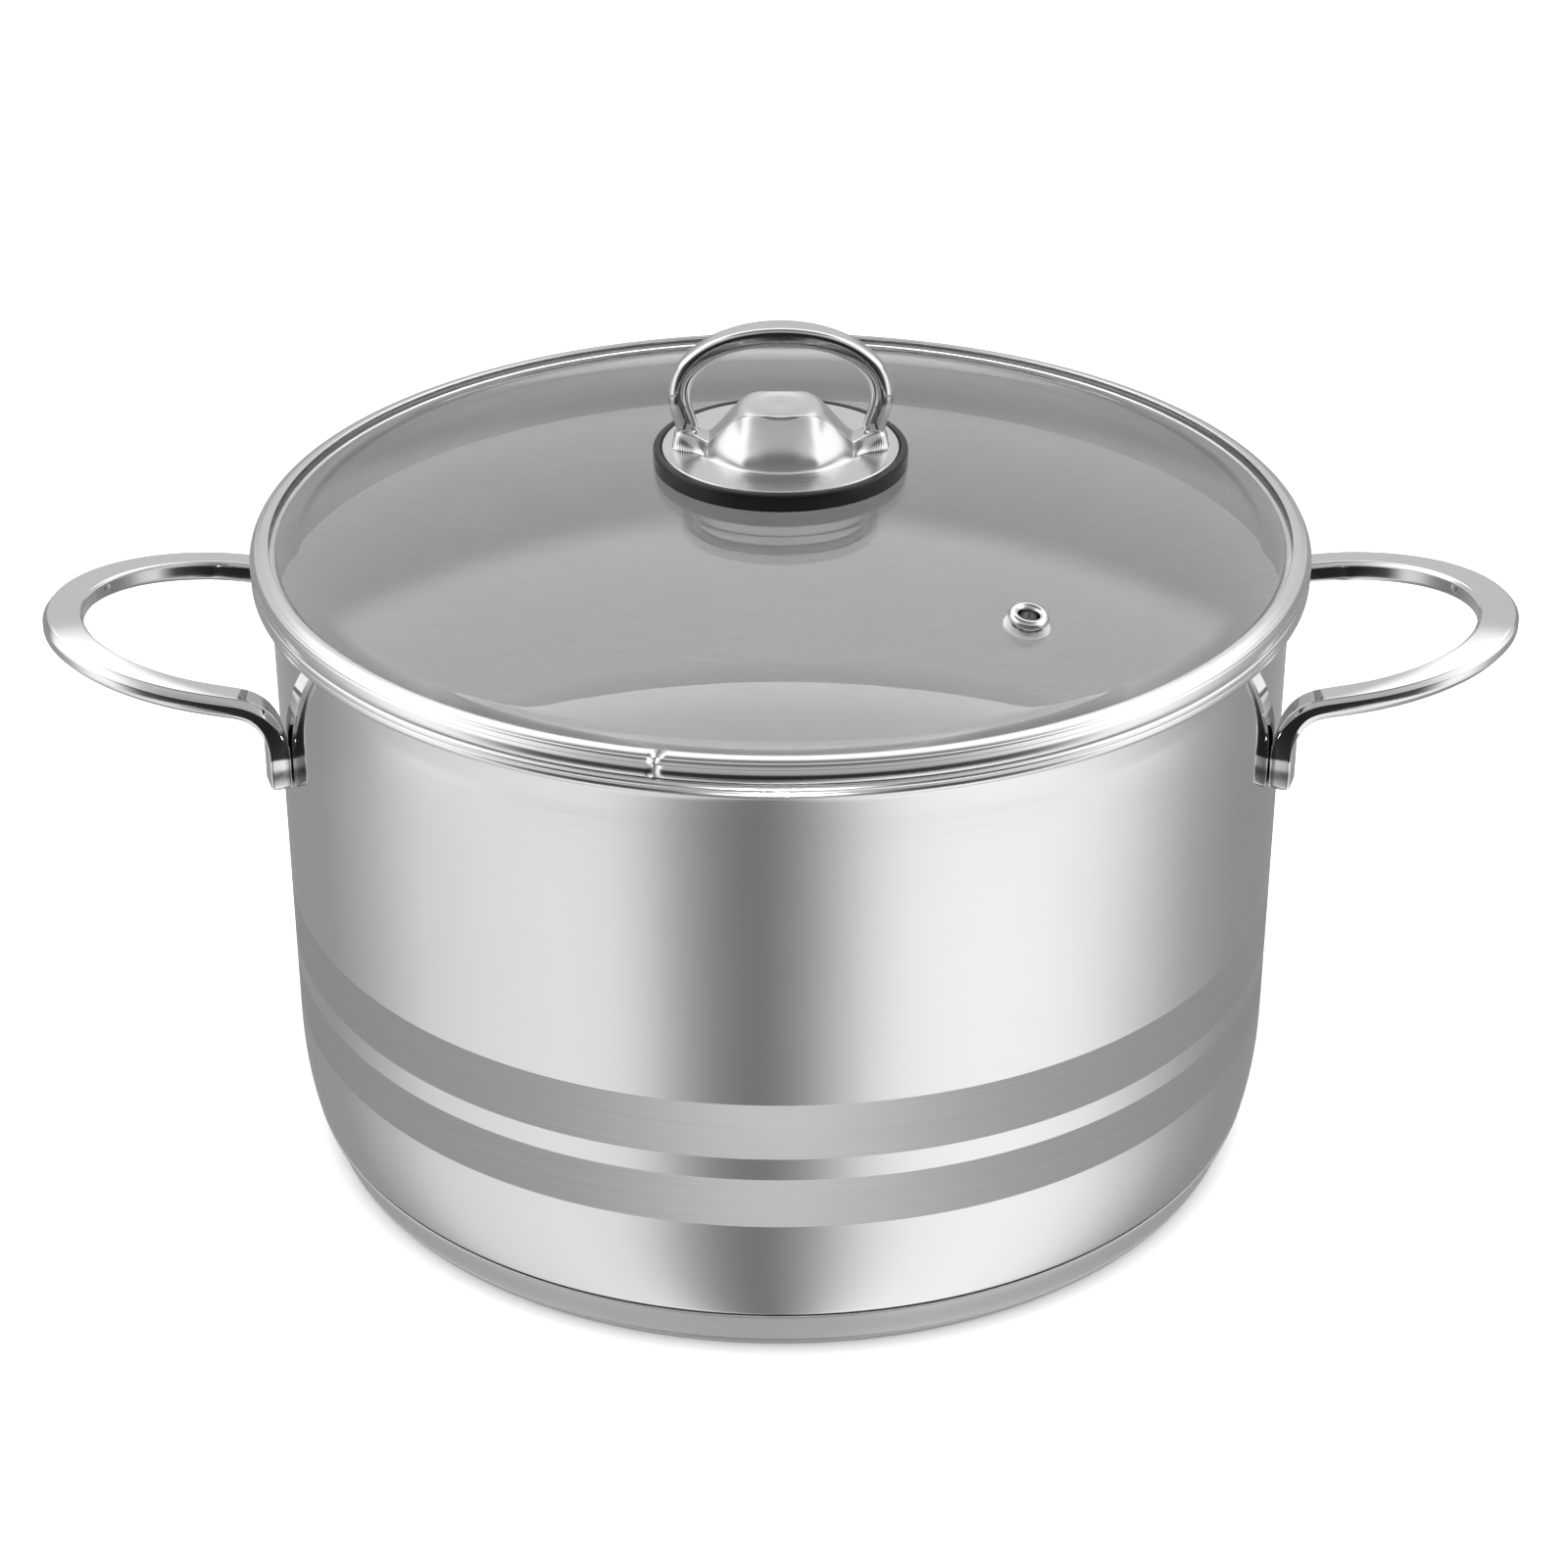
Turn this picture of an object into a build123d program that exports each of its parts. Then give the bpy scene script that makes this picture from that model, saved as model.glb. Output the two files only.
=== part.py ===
from build123d import *
import math
import os

# Two-handled stock pot with an encapsulated base and a glass lid, in millimetres.
# +Z is up, the origin is the centre of the underside, and the side handles lie along X.

# Gap left between neighbouring pieces
fit_gap = 0.05

# Pot body
wall_radius = 120.0
wall_thickness = 0.8
floor_underside = 5.6
floor_corner_radius = 5.4
taper_top = 32.0
taper_bottom = 11.3
taper_depth = 2.0
base_step = 1.15
base_step_height = 0.8
rim_flare_start = 143.0
rim_bead_bottom = 146.1
rim_bead_radius = 124.2
rim_top = 149.8
rim_edge_rounding = 1.1
rim_mouth_flare = 1.9

# Encapsulated base
cap_thickness = 0.6
cap_top = 10.45
cap_top_radius = 117.75
cap_foot_radius = 114.3
cap_edge_rounding = 1.6
base_recess_radius = 96.0
base_recess_depth = 0.4

# Side handles: a flattened bar bent into a loop that rises a little outwards
handle_centre_x = 128.0
handle_reach = 42.9
handle_half_width = 36.4
handle_tip_height = 130.6
handle_rise = 0.14
leg_angle = 18.2
leg_offset = 2.32
leg_bottom = 103.0
leg_straight_top = 113.5
bend_radius = 9.5
tip_section = (9.6, 4.5)
arm_section = (7.4, 5.2)
leg_section = (7.4, 4.5)
bar_corner_radius = 1.4
arm_roll = 10.0

# Lid glass
glass_sphere_radius = 416.0
glass_top = 170.2
glass_thickness = 3.45
glass_edge_radius = 123.2
glass_edge_rounding = 1.2
glass_dome_radius = 112.0
glass_flat_radius = 117.0
glass_edge_top = 154.1
glass_hole_radius = 5.0

# Lid band
band_radius = 124.3
band_bottom = 150.05
band_top = 154.65
band_sheet = 0.5
band_lip_radius = 119.7
skirt_radius = 118.5
skirt_bottom = 146.2
seam_x = -26.0
seam_width = 0.35

# Steam vent
vent_x = 53.9
vent_y = -68.3
vent_flange_radius = 4.55
vent_bore_radius = 2.3
vent_tube_radius = 3.0
vent_hole_radius = 3.2
vent_washer_radius = 5.2
vent_washer_thickness = 0.8

# Knob
ring_radius = 29.75
ring_inner_radius = 21.0
ring_seat_radius = 28.0
ring_shoulder = 1.85
plate_radius = 27.75
plate_top = 173.4
plate_thickness = 0.9
plate_edge_bevel = 0.3
bell_foot_radius = 19.5
bell_inner_foot_radius = 18.7
bell_waist = (12.8, 4.4)
bell_inner_waist = (12.1, 3.2)
bell_top_radius = 9.8
bell_top = 183.9
bell_edge_rounding = 0.5
saddle_radius = 3.3
saddle_start = 6.4
socket_depth = 2.4
socket_lean = 0.16
bail_foot_depth = 2.0
bail_foot_clearance = 0.06
socket_x = 21.6
socket_height = 177.2
valley_x = 15.8
valley_height = 174.7
bail_diameter = 5.2
bail_half_width = 23.4
bail_waist = 186.5
bail_top = 203.8
bail_flat = (7.3, 3.2)

# Knob fixing
boss_radius = 4.8
boss_bottom = 170.5
screw_radius = 2.5
screw_head_radius = 5.0
screw_head_height = 2.6
screw_head_rounding = 1.2
screw_reach = 6.0
recess_width = 1.1
recess_length = 5.4
recess_depth = 1.5
thread_closed_end = 2.0
steel_washer_radius = 7.5
steel_washer_thickness = 1.0
gasket_radius = 8.5
gasket_thickness = 1.2


def revolve_profile(build_outline):
    """Turn an outline in the XZ plane about the Z axis."""
    with BuildPart() as turned:
        with BuildSketch(Plane.XZ):
            with BuildLine():
                build_outline()
            make_face()
        revolve(axis=Axis.Z)
    return turned.part


def ring(inner, outer, low, high):
    """A plain ring about the Z axis."""
    body = Cylinder(outer, high - low, align=(Align.CENTER, Align.CENTER, Align.MIN))
    bore = Cylinder(inner, high - low, align=(Align.CENTER, Align.CENTER, Align.MIN))
    return Pos(0, 0, low) * (body - bore)


def glass_height(radius):
    """Height of the glass's top face at a distance from the axis."""
    drop = glass_sphere_radius - math.sqrt(glass_sphere_radius**2 - radius**2)
    return glass_top - drop


def floor_end_radius():
    """Where the flat floor ends and its corner begins."""
    return wall_radius - taper_depth - base_step - floor_corner_radius


def shell_outline():
    """Pot wall and floor, one sheet thick, with a step above the base and a rolled bead on top."""
    foot_x = wall_radius - taper_depth
    step_x = foot_x - base_step
    step_z = taper_bottom - base_step_height
    inner = wall_radius - wall_thickness
    floor_end = floor_end_radius()
    Line((0, floor_underside), (floor_end, floor_underside))
    TangentArc((floor_end, floor_underside), (step_x, step_z), tangent=(1, 0))
    Line((step_x, step_z), (foot_x, taper_bottom))
    Spline((foot_x, taper_bottom), (wall_radius, taper_top), tangents=((0.27, 1), (0, 1)))
    Line((wall_radius, taper_top), (wall_radius, rim_flare_start))
    bead_low = (rim_bead_radius - 0.6, rim_bead_bottom)
    Spline((wall_radius, rim_flare_start), bead_low, tangents=((0, 1), (1, 0.25)))
    Line(bead_low, (rim_bead_radius, rim_bead_bottom + 0.5))
    bead_side_top = (rim_bead_radius, rim_top - rim_edge_rounding)
    Line((rim_bead_radius, rim_bead_bottom + 0.5), bead_side_top)
    crown = (rim_bead_radius - rim_edge_rounding, rim_top)
    TangentArc(bead_side_top, crown, tangent=(0, 1))
    mouth = (inner + rim_mouth_flare, rim_top)
    Line(crown, mouth)
    Spline(mouth, (inner, rim_flare_start), tangents=((-1, -0.6), (0, -1)))
    Line((inner, rim_flare_start), (inner, taper_top))
    inner_floor = floor_underside + wall_thickness
    corner_top = (step_x, taper_bottom + 0.6)
    Spline((inner, taper_top), corner_top, tangents=((0, -1), (-0.3, -1)))
    Spline(corner_top, (floor_end, inner_floor), tangents=((-0.3, -1), (-1, 0)))
    Line((floor_end, inner_floor), (0, inner_floor))
    Line((0, inner_floor), (0, floor_underside))


def cap_outer_points():
    """The capsule's outer side from its foot up to its top edge."""
    return [
        (cap_foot_radius, cap_edge_rounding),
        (cap_foot_radius + 1.7, 5.0),
        (cap_top_radius, cap_top),
    ]


def cap_outline():
    """Thin steel capsule: a recessed underside, a rounded foot and a side that leans outwards."""
    foot = cap_foot_radius - cap_edge_rounding
    side = cap_outer_points()
    inner_foot = (cap_foot_radius - cap_thickness, cap_edge_rounding + 0.3)
    Line((0, base_recess_depth), (base_recess_radius, base_recess_depth))
    Line((base_recess_radius, base_recess_depth), (base_recess_radius + 2, 0))
    Line((base_recess_radius + 2, 0), (foot, 0))
    rounding = TangentArc((foot, 0), side[0], tangent=(1, 0))
    Spline(*side, tangents=(rounding % 1, (0.12, 1)))
    top_inner = (cap_top_radius - 0.28, cap_top)
    Line(side[2], top_inner)
    Spline(top_inner, (cap_foot_radius + 1.05, 5.0), inner_foot)
    inner_level = base_recess_depth + cap_thickness
    Line(inner_foot, (foot - cap_thickness, inner_level))
    Line((foot - cap_thickness, inner_level), (0, inner_level))
    Line((0, inner_level), (0, base_recess_depth))


def core_outline():
    """Aluminium heat spreader between the capsule and the pot's floor."""
    low = base_recess_depth + cap_thickness
    core_radius = floor_end_radius()
    Polyline(
        (0, low),
        (core_radius - 0.5, low),
        (core_radius, low + 0.5),
        (core_radius, floor_underside),
        (0, floor_underside),
        close=True,
    )


def leg_corner():
    """Plan position of a leg's centre on the front side of the +X handle."""
    reach = wall_radius + leg_offset
    angle = math.radians(leg_angle)
    return reach * math.cos(angle), -reach * math.sin(angle)


def handle_height(x):
    """Height of the loop's centre line: it rises evenly towards the tip."""
    tip_x = handle_centre_x + handle_reach
    return handle_tip_height - handle_rise * (tip_x - x)


def handle_front_half():
    """Stations of one half, foot to tip: centre, direction of the bar's width, section."""
    leg_x, leg_y = leg_corner()
    along_wall = Vector(-math.sin(math.radians(leg_angle)), -math.cos(math.radians(leg_angle)), 0)
    roll = math.radians(arm_roll)
    arm_side = Vector(0, -math.cos(roll), -math.sin(roll))
    stations = []
    for share in (0, 0.35, 0.7, 1):
        height = leg_bottom + (leg_straight_top - leg_bottom) * share
        stations.append((Vector(leg_x, leg_y, height), along_wall, leg_section))
    bend_rise = handle_height(leg_x + bend_radius) - leg_straight_top
    for share in (1 / 3, 2 / 3):
        turn = math.radians(90 * share)
        x = leg_x + bend_radius * (1 - math.cos(turn))
        y = leg_y + (-handle_half_width - leg_y) * share
        z = leg_straight_top + bend_rise * math.sin(turn)
        side = along_wall * (1 - share) + arm_side * share
        section = blend(leg_section, arm_section, share)
        stations.append((Vector(x, y, z), side, section))
    for step in (90, 76, 62, 48, 32, 16, 0):
        angle = math.radians(step)
        x = handle_centre_x + handle_reach * math.cos(angle)
        y = -handle_half_width * math.sin(angle)
        lean = -math.sin(roll) * math.sin(angle)
        side = Vector(handle_half_width * math.cos(angle), -handle_reach * math.sin(angle), 0).normalized()
        side = side + Vector(0, 0, lean)
        section = blend(arm_section, tip_section, math.cos(angle) ** 2)
        stations.append((Vector(x, y, handle_height(x)), side, section))
    return stations


def blend(first, second, share):
    """A pair of sizes part of the way from first to second."""
    return tuple(a + (b - a) * share for a, b in zip(first, second))


def mirror_y(vector):
    """The same vector on the other side of the XZ plane."""
    return Vector(vector.X, -vector.Y, vector.Z)


def loft_bar(stations, first_direction, last_direction, corner):
    """Loft rounded sections at stations of centre, width direction and section."""
    centres = [centre for centre, side, section in stations]
    sections = []
    for index, (centre, side, section) in enumerate(stations):
        if index == 0:
            tangent = first_direction
        elif index == len(stations) - 1:
            tangent = last_direction
        else:
            tangent = (centres[index + 1] - centres[index - 1]).normalized()
        width_direction = side - tangent * side.dot(tangent)
        plane = Plane(origin=centre, x_dir=width_direction, z_dir=tangent)
        rounding = min(corner, section[1] / 2 - 0.05)
        sections.append(plane * RectangleRounded(section[0], section[1], rounding))
    return loft(sections)


def make_handle():
    """The whole loop of the +X handle."""
    front = handle_front_half()
    back = [(mirror_y(centre), mirror_y(side), section) for centre, side, section in reversed(front[:-1])]
    return loft_bar(front + back, Vector(0, 0, 1), Vector(0, 0, -1), bar_corner_radius)


def make_glass():
    """Domed pane with a flat ground edge, a centre hole and the vent hole."""
    edge_low = glass_edge_top - glass_thickness
    rounding_start = glass_edge_radius - glass_edge_rounding
    middle = glass_dome_radius / 2
    slope = -glass_dome_radius / (glass_sphere_radius - glass_top + glass_height(glass_dome_radius))

    def face(offset):
        """Dome and its run-out on the upper or the lower face, from the axis to the flat edge."""
        dome_end = (glass_dome_radius, glass_height(glass_dome_radius) - offset)
        flat_start = (glass_flat_radius, glass_edge_top - offset)
        ThreePointArc((0, glass_top - offset), (middle, glass_height(middle) - offset), dome_end)
        Spline(dome_end, flat_start, tangents=((1, slope), (1, -0.05)))
        Line(flat_start, (rounding_start, glass_edge_top - offset))

    def outline():
        Line((0, glass_top - glass_thickness), (0, glass_top))
        face(0)
        face(glass_thickness)
        upper_end = (glass_edge_radius, glass_edge_top - glass_edge_rounding)
        lower_end = (glass_edge_radius, edge_low + glass_edge_rounding)
        TangentArc((rounding_start, glass_edge_top), upper_end, tangent=(1, 0))
        Line(upper_end, lower_end)
        TangentArc(lower_end, (rounding_start, edge_low), tangent=(0, -1))

    pane = revolve_profile(outline)
    hole = Pos(0, 0, glass_top) * Cylinder(glass_hole_radius, 20)
    vent_hole = vent_plane() * Cylinder(vent_hole_radius, 20)
    return pane - hole - vent_hole


def vent_plane():
    """Plane on the glass's top face at the vent, square to the dome."""
    radius = math.hypot(vent_x, vent_y)
    sphere_centre = glass_top - glass_sphere_radius
    height = glass_height(radius)
    return Plane(origin=(vent_x, vent_y, height), z_dir=(vent_x, vent_y, height - sphere_centre))


def make_band():
    """Folded band round the glass's edge, with a skirt inside the mouth and one butt seam."""

    def outline():
        inner_wall = band_radius - band_sheet
        rounding = 2.2
        pocket_low = glass_edge_top - glass_thickness - fit_gap
        pocket_top = glass_edge_top + fit_gap
        pocket_rounding = 1.7
        lip_rounding = 0.25
        Line((skirt_radius - band_sheet, skirt_bottom), (skirt_radius, skirt_bottom))
        Line((skirt_radius, skirt_bottom), (skirt_radius, band_bottom))
        Line((skirt_radius, band_bottom), (band_radius - 0.8, band_bottom))
        TangentArc((band_radius - 0.8, band_bottom), (band_radius, band_bottom + 0.8), tangent=(1, 0))
        Line((band_radius, band_bottom + 0.8), (band_radius, band_top - rounding))
        TangentArc((band_radius, band_top - rounding), (band_radius - rounding, band_top), tangent=(0, 1))
        lip_crown = (band_lip_radius + lip_rounding, band_top)
        lip_side = (band_lip_radius, band_top - lip_rounding)
        Line((band_radius - rounding, band_top), lip_crown)
        TangentArc(lip_crown, lip_side, tangent=(-1, 0))
        Line(lip_side, (band_lip_radius, pocket_top))
        pocket_corner = (inner_wall - pocket_rounding, pocket_top)
        pocket_side = (inner_wall, pocket_top - pocket_rounding)
        Line((band_lip_radius, pocket_top), pocket_corner)
        TangentArc(pocket_corner, pocket_side, tangent=(1, 0))
        Line(pocket_side, (inner_wall, pocket_low))
        Line((inner_wall, pocket_low), (skirt_radius - band_sheet, pocket_low))
        Line((skirt_radius - band_sheet, pocket_low), (skirt_radius - band_sheet, skirt_bottom))

    band = revolve_profile(outline)
    seam_angle = math.degrees(math.atan2(-math.sqrt(band_radius**2 - seam_x**2), seam_x))
    slit = Rot(0, 0, seam_angle) * Pos(band_radius, 0, band_top - 4) * Box(20, seam_width, 20)
    return band - slit


def make_eyelet():
    """Rolled steel eyelet through the glass, flared over its washer underneath."""
    tube_low = -glass_thickness - vent_washer_thickness - 0.9
    flange_height = 1.9

    def outline():
        Line((vent_bore_radius, tube_low), (vent_bore_radius, 0.9))
        middle = ((vent_bore_radius + vent_flange_radius) / 2, flange_height)
        ThreePointArc((vent_bore_radius, 0.9), middle, (vent_flange_radius, 0.9))
        Line((vent_flange_radius, 0.9), (vent_flange_radius - 0.5, 0.05))
        Line((vent_flange_radius - 0.5, 0.05), (vent_tube_radius, 0.05))
        Line((vent_tube_radius, 0.05), (vent_tube_radius, tube_low + 0.85))
        Line((vent_tube_radius, tube_low + 0.85), (vent_flange_radius - 0.3, tube_low + 0.7))
        Line((vent_flange_radius - 0.3, tube_low + 0.7), (vent_flange_radius - 0.5, tube_low + 0.2))
        Line((vent_flange_radius - 0.5, tube_low + 0.2), (vent_bore_radius, tube_low))

    return vent_plane() * revolve_profile(outline)


def make_vent_washer():
    """Washer under the glass, held by the eyelet's flare."""
    top = -glass_thickness - fit_gap
    washer = ring(vent_tube_radius + fit_gap, vent_washer_radius, top - vent_washer_thickness, top)
    return vent_plane() * washer


def make_knob_ring():
    """Black insulating ring between the glass and the knob's plate, with a rounded shoulder."""
    gap = 0.08
    edge_bevel = 0.4
    shelf = plate_top - plate_thickness - fit_gap
    shoulder = (ring_radius, plate_top - ring_shoulder)

    def outline():
        Polyline(
            (ring_seat_radius, plate_top - 0.1),
            (ring_seat_radius, shelf),
            (ring_inner_radius, shelf),
            (ring_inner_radius, glass_height(ring_inner_radius) + gap),
            (ring_radius - edge_bevel, glass_height(ring_radius) + gap),
            (ring_radius, glass_height(ring_radius) + gap + edge_bevel),
            shoulder,
        )
        Spline(shoulder, (ring_seat_radius, plate_top - 0.1), tangents=((0, 1), (-1, 0)))

    return revolve_profile(outline)


def rod(start, end, radius):
    """Round rod between two points, with a ball on its end."""
    start = Vector(*start)
    end = Vector(*end)
    plane = Plane(origin=start, z_dir=end - start)
    bar = Cylinder(radius, (end - start).length, align=(Align.CENTER, Align.CENTER, Align.MIN))
    return plane * bar + Pos(*end) * Sphere(radius)


def saddle_arm():
    """One saddle arm: down the bell's flank, through the valley and up to the bail's socket."""
    low_centre = valley_height - saddle_radius
    crest = (saddle_start, 0, bell_top - saddle_radius + 0.4)
    valley_start = (valley_x - 1.9, 0, low_centre)
    valley_end = (valley_x + 1.5, 0, low_centre)
    elbow = Vector(socket_x, 0, socket_height) - socket_direction() * socket_depth
    arm = rod(crest, valley_start, saddle_radius)
    arm = arm + rod(valley_start, valley_end, saddle_radius)
    arm = arm + rod(valley_end, tuple(elbow), saddle_radius)
    socket = Cylinder(saddle_radius, socket_depth, align=(Align.CENTER, Align.CENTER, Align.MIN))
    return arm + Plane(origin=elbow, z_dir=socket_direction()) * socket


def socket_direction():
    """Direction of the bail's foot in its socket."""
    return Vector(socket_lean, 0, 1).normalized()


def make_hub():
    """Pressed plate, bell and the two saddle arms that hold the bail."""
    low = plate_top - plate_thickness
    inner_top = bell_top - plate_thickness

    def outline():
        flat_end = (bell_top_radius - bell_edge_rounding, bell_top)
        shoulder = (bell_top_radius, bell_top - bell_edge_rounding)
        Line((0, bell_top), flat_end)
        TangentArc(flat_end, shoulder, tangent=(1, 0))
        foot = (bell_foot_radius, plate_top)
        waist = (bell_waist[0], plate_top + bell_waist[1])
        Spline(shoulder, waist, foot, tangents=((0.2, -1), (1, -0.02)))
        Line(foot, (plate_radius - plate_edge_bevel, plate_top))
        plate_edge = (plate_radius, plate_top - plate_edge_bevel)
        Line((plate_radius - plate_edge_bevel, plate_top), plate_edge)
        Line(plate_edge, (plate_radius, low))
        inner_foot = (bell_inner_foot_radius, low)
        Line((plate_radius, low), inner_foot)
        inner_waist = (bell_inner_waist[0], plate_top + bell_inner_waist[1])
        inner_shoulder = (bell_top_radius - plate_thickness, inner_top - 0.2)
        Spline(inner_foot, inner_waist, inner_shoulder, tangents=((-1, 0.02), (-0.2, 1)))
        Line(inner_shoulder, (bell_top_radius - plate_thickness - 0.2, inner_top))
        Line((bell_top_radius - plate_thickness - 0.2, inner_top), (0, inner_top))
        Line((0, inner_top), (0, bell_top))

    hub = revolve_profile(outline)
    slab = Box(80, 80, inner_top - low, align=(Align.CENTER, Align.CENTER, Align.MIN))
    well = Cylinder(boss_radius + 0.1, inner_top - low, align=(Align.CENTER, Align.CENTER, Align.MIN))
    arm = saddle_arm() & (Pos(0, 0, low) * (slab - well))
    hub = hub + arm + mirror(arm, about=Plane.YZ)
    bore_radius = bail_diameter / 2 + bail_foot_clearance
    foot_bore = Cylinder(bore_radius, 8, align=(Align.CENTER, Align.CENTER, Align.MIN))
    bore = Plane(origin=bail_foot(), z_dir=socket_direction()) * foot_bore
    return hub - bore - mirror(bore, about=Plane.YZ)


def bail_foot():
    """Lower end of the bail's leg, inside its socket."""
    return Vector(socket_x, 0, socket_height) - socket_direction() * bail_foot_depth


def make_bail():
    """Bent round rod, pressed flat over the top: half an ellipse on two slightly splayed legs."""
    round_section = (bail_diameter, bail_diameter)
    foot = bail_foot()
    side = Vector(0, 1, 0)
    half = [(foot + socket_direction() * height, side, round_section) for height in (0, 1.5, 3)]
    half.append((Vector(bail_half_width - 0.35, 0, bail_waist - 4), side, round_section))
    top_rise = bail_top - bail_flat[1] / 2 - bail_waist
    for step in (0, 18, 36, 54, 72, 90):
        angle = math.radians(step)
        x = bail_half_width * math.cos(angle)
        z = bail_waist + top_rise * math.sin(angle)
        section = blend(round_section, bail_flat, math.sin(angle) ** 3)
        half.append((Vector(x, 0, z), side, section))
    other = [(Vector(-centre.X, 0, centre.Z), way, section) for centre, way, section in reversed(half[:-1])]
    up = socket_direction()
    return loft_bar(half + other, up, Vector(up.X, 0, -up.Z), bail_diameter / 2)


def make_boss():
    """Threaded boss welded inside the bell, reaching down to just above the glass."""
    height = bell_top - plate_thickness - boss_bottom
    boss = Cylinder(boss_radius, height, align=(Align.CENTER, Align.CENTER, Align.MIN))
    thread_depth = height - thread_closed_end
    thread = Cylinder(screw_radius + fit_gap, thread_depth, align=(Align.CENTER, Align.CENTER, Align.MIN))
    return Pos(0, 0, boss_bottom) * (boss - thread)


def make_screw(head_top):
    """Pan-head screw with a cross recess, driven from under the glass."""
    shank_length = plate_top + screw_reach - head_top
    head = Cylinder(screw_head_radius, screw_head_height, align=(Align.CENTER, Align.CENTER, Align.MAX))
    head = fillet(head.edges().sort_by(Axis.Z)[0], screw_head_rounding)
    shank = Cylinder(screw_radius, shank_length, align=(Align.CENTER, Align.CENTER, Align.MIN))
    slot = Pos(0, 0, -screw_head_height) * Box(recess_width, recess_length, 2 * recess_depth)
    cross = Pos(0, 0, -screw_head_height) * Box(recess_length, recess_width, 2 * recess_depth)
    return Pos(0, 0, head_top) * (head + shank - slot - cross)


def main():
    os.makedirs("parts", exist_ok=True)
    glass_low = glass_top - glass_thickness
    gasket_top = glass_low - 0.12
    washer_top = gasket_top - gasket_thickness
    head_top = washer_top - steel_washer_thickness
    screw_hole = screw_radius + 2 * fit_gap
    bush_radius = glass_hole_radius - 2 * fit_gap
    handle = make_handle()
    nodes = {
        "pot_shell": revolve_profile(shell_outline),
        "base_core": revolve_profile(core_outline),
        "base_cap": revolve_profile(cap_outline),
        "right_handle": handle,
        "left_handle": mirror(handle, about=Plane.YZ),
        "lid_glass": make_glass(),
        "lid_band": make_band(),
        "vent_eyelet": make_eyelet(),
        "vent_washer": make_vent_washer(),
        "knob_ring": make_knob_ring(),
        "knob_hub": make_hub(),
        "knob_bail": make_bail(),
        "knob_boss": make_boss(),
        "knob_bush": ring(screw_hole, bush_radius, glass_low + fit_gap, glass_top - fit_gap),
        "knob_gasket": ring(screw_hole, gasket_radius, washer_top, gasket_top),
        "knob_washer": ring(screw_hole, steel_washer_radius, head_top, washer_top),
        "knob_screw": make_screw(head_top),
    }
    for name, solid in nodes.items():
        solid.label = name
        export_step(solid, f"parts/{name}.step")
        print(f"{name:14s} solids {len(solid.solids())} volume {solid.volume:10.1f} mm3")


main()
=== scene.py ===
import math

import bpy
import numpy as np
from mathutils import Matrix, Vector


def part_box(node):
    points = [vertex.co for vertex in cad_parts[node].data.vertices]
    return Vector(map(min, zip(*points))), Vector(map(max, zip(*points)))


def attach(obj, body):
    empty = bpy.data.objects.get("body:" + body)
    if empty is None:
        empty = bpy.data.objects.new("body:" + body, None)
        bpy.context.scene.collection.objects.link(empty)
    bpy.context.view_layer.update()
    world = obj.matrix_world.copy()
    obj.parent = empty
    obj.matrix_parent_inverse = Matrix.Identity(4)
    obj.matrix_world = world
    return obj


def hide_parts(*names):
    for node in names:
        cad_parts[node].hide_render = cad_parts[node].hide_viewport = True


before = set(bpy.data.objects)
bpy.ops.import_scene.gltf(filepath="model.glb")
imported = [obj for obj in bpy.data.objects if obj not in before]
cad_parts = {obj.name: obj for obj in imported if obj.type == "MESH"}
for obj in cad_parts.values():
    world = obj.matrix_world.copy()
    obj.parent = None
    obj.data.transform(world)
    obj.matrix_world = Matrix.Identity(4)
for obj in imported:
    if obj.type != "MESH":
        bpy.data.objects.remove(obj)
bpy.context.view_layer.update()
mm = 0.001
turns = 384  # steps round the axis in a large turned piece
clearance = 0.05  # gap between neighbouring pieces, in millimetres
print("frame loaded:", len(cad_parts), "nodes")


# ---- runs: short stretches of an outline, each an array of (radius, height) in millimetres

def straight(start, end, count=2):
    # evenly spaced points on a straight line, both ends kept
    share = np.linspace(0, 1, count)[:, None]
    return np.array(start, float) * (1 - share) + np.array(end, float) * share


def arc(centre, radius, fromAngle, toAngle, count=9):
    # points at equal angles on a circle: centre plus radius times (cosine, sine)
    angle = np.radians(np.linspace(fromAngle, toAngle, count))
    ring = np.stack([np.cos(angle), np.sin(angle)], 1)
    return np.array(centre, float) + radius * ring


def bend(first, firstPull, lastPull, last, count=17):
    # cubic curve: the two pulls set the directions in which it leaves and arrives
    t = np.linspace(0, 1, count)[:, None]
    a, b, c, d = (np.array(p, float) for p in (first, firstPull, lastPull, last))
    return a * (1 - t) ** 3 + 3 * b * t * (1 - t) ** 2 + 3 * c * t ** 2 * (1 - t) + d * t ** 3


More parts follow.
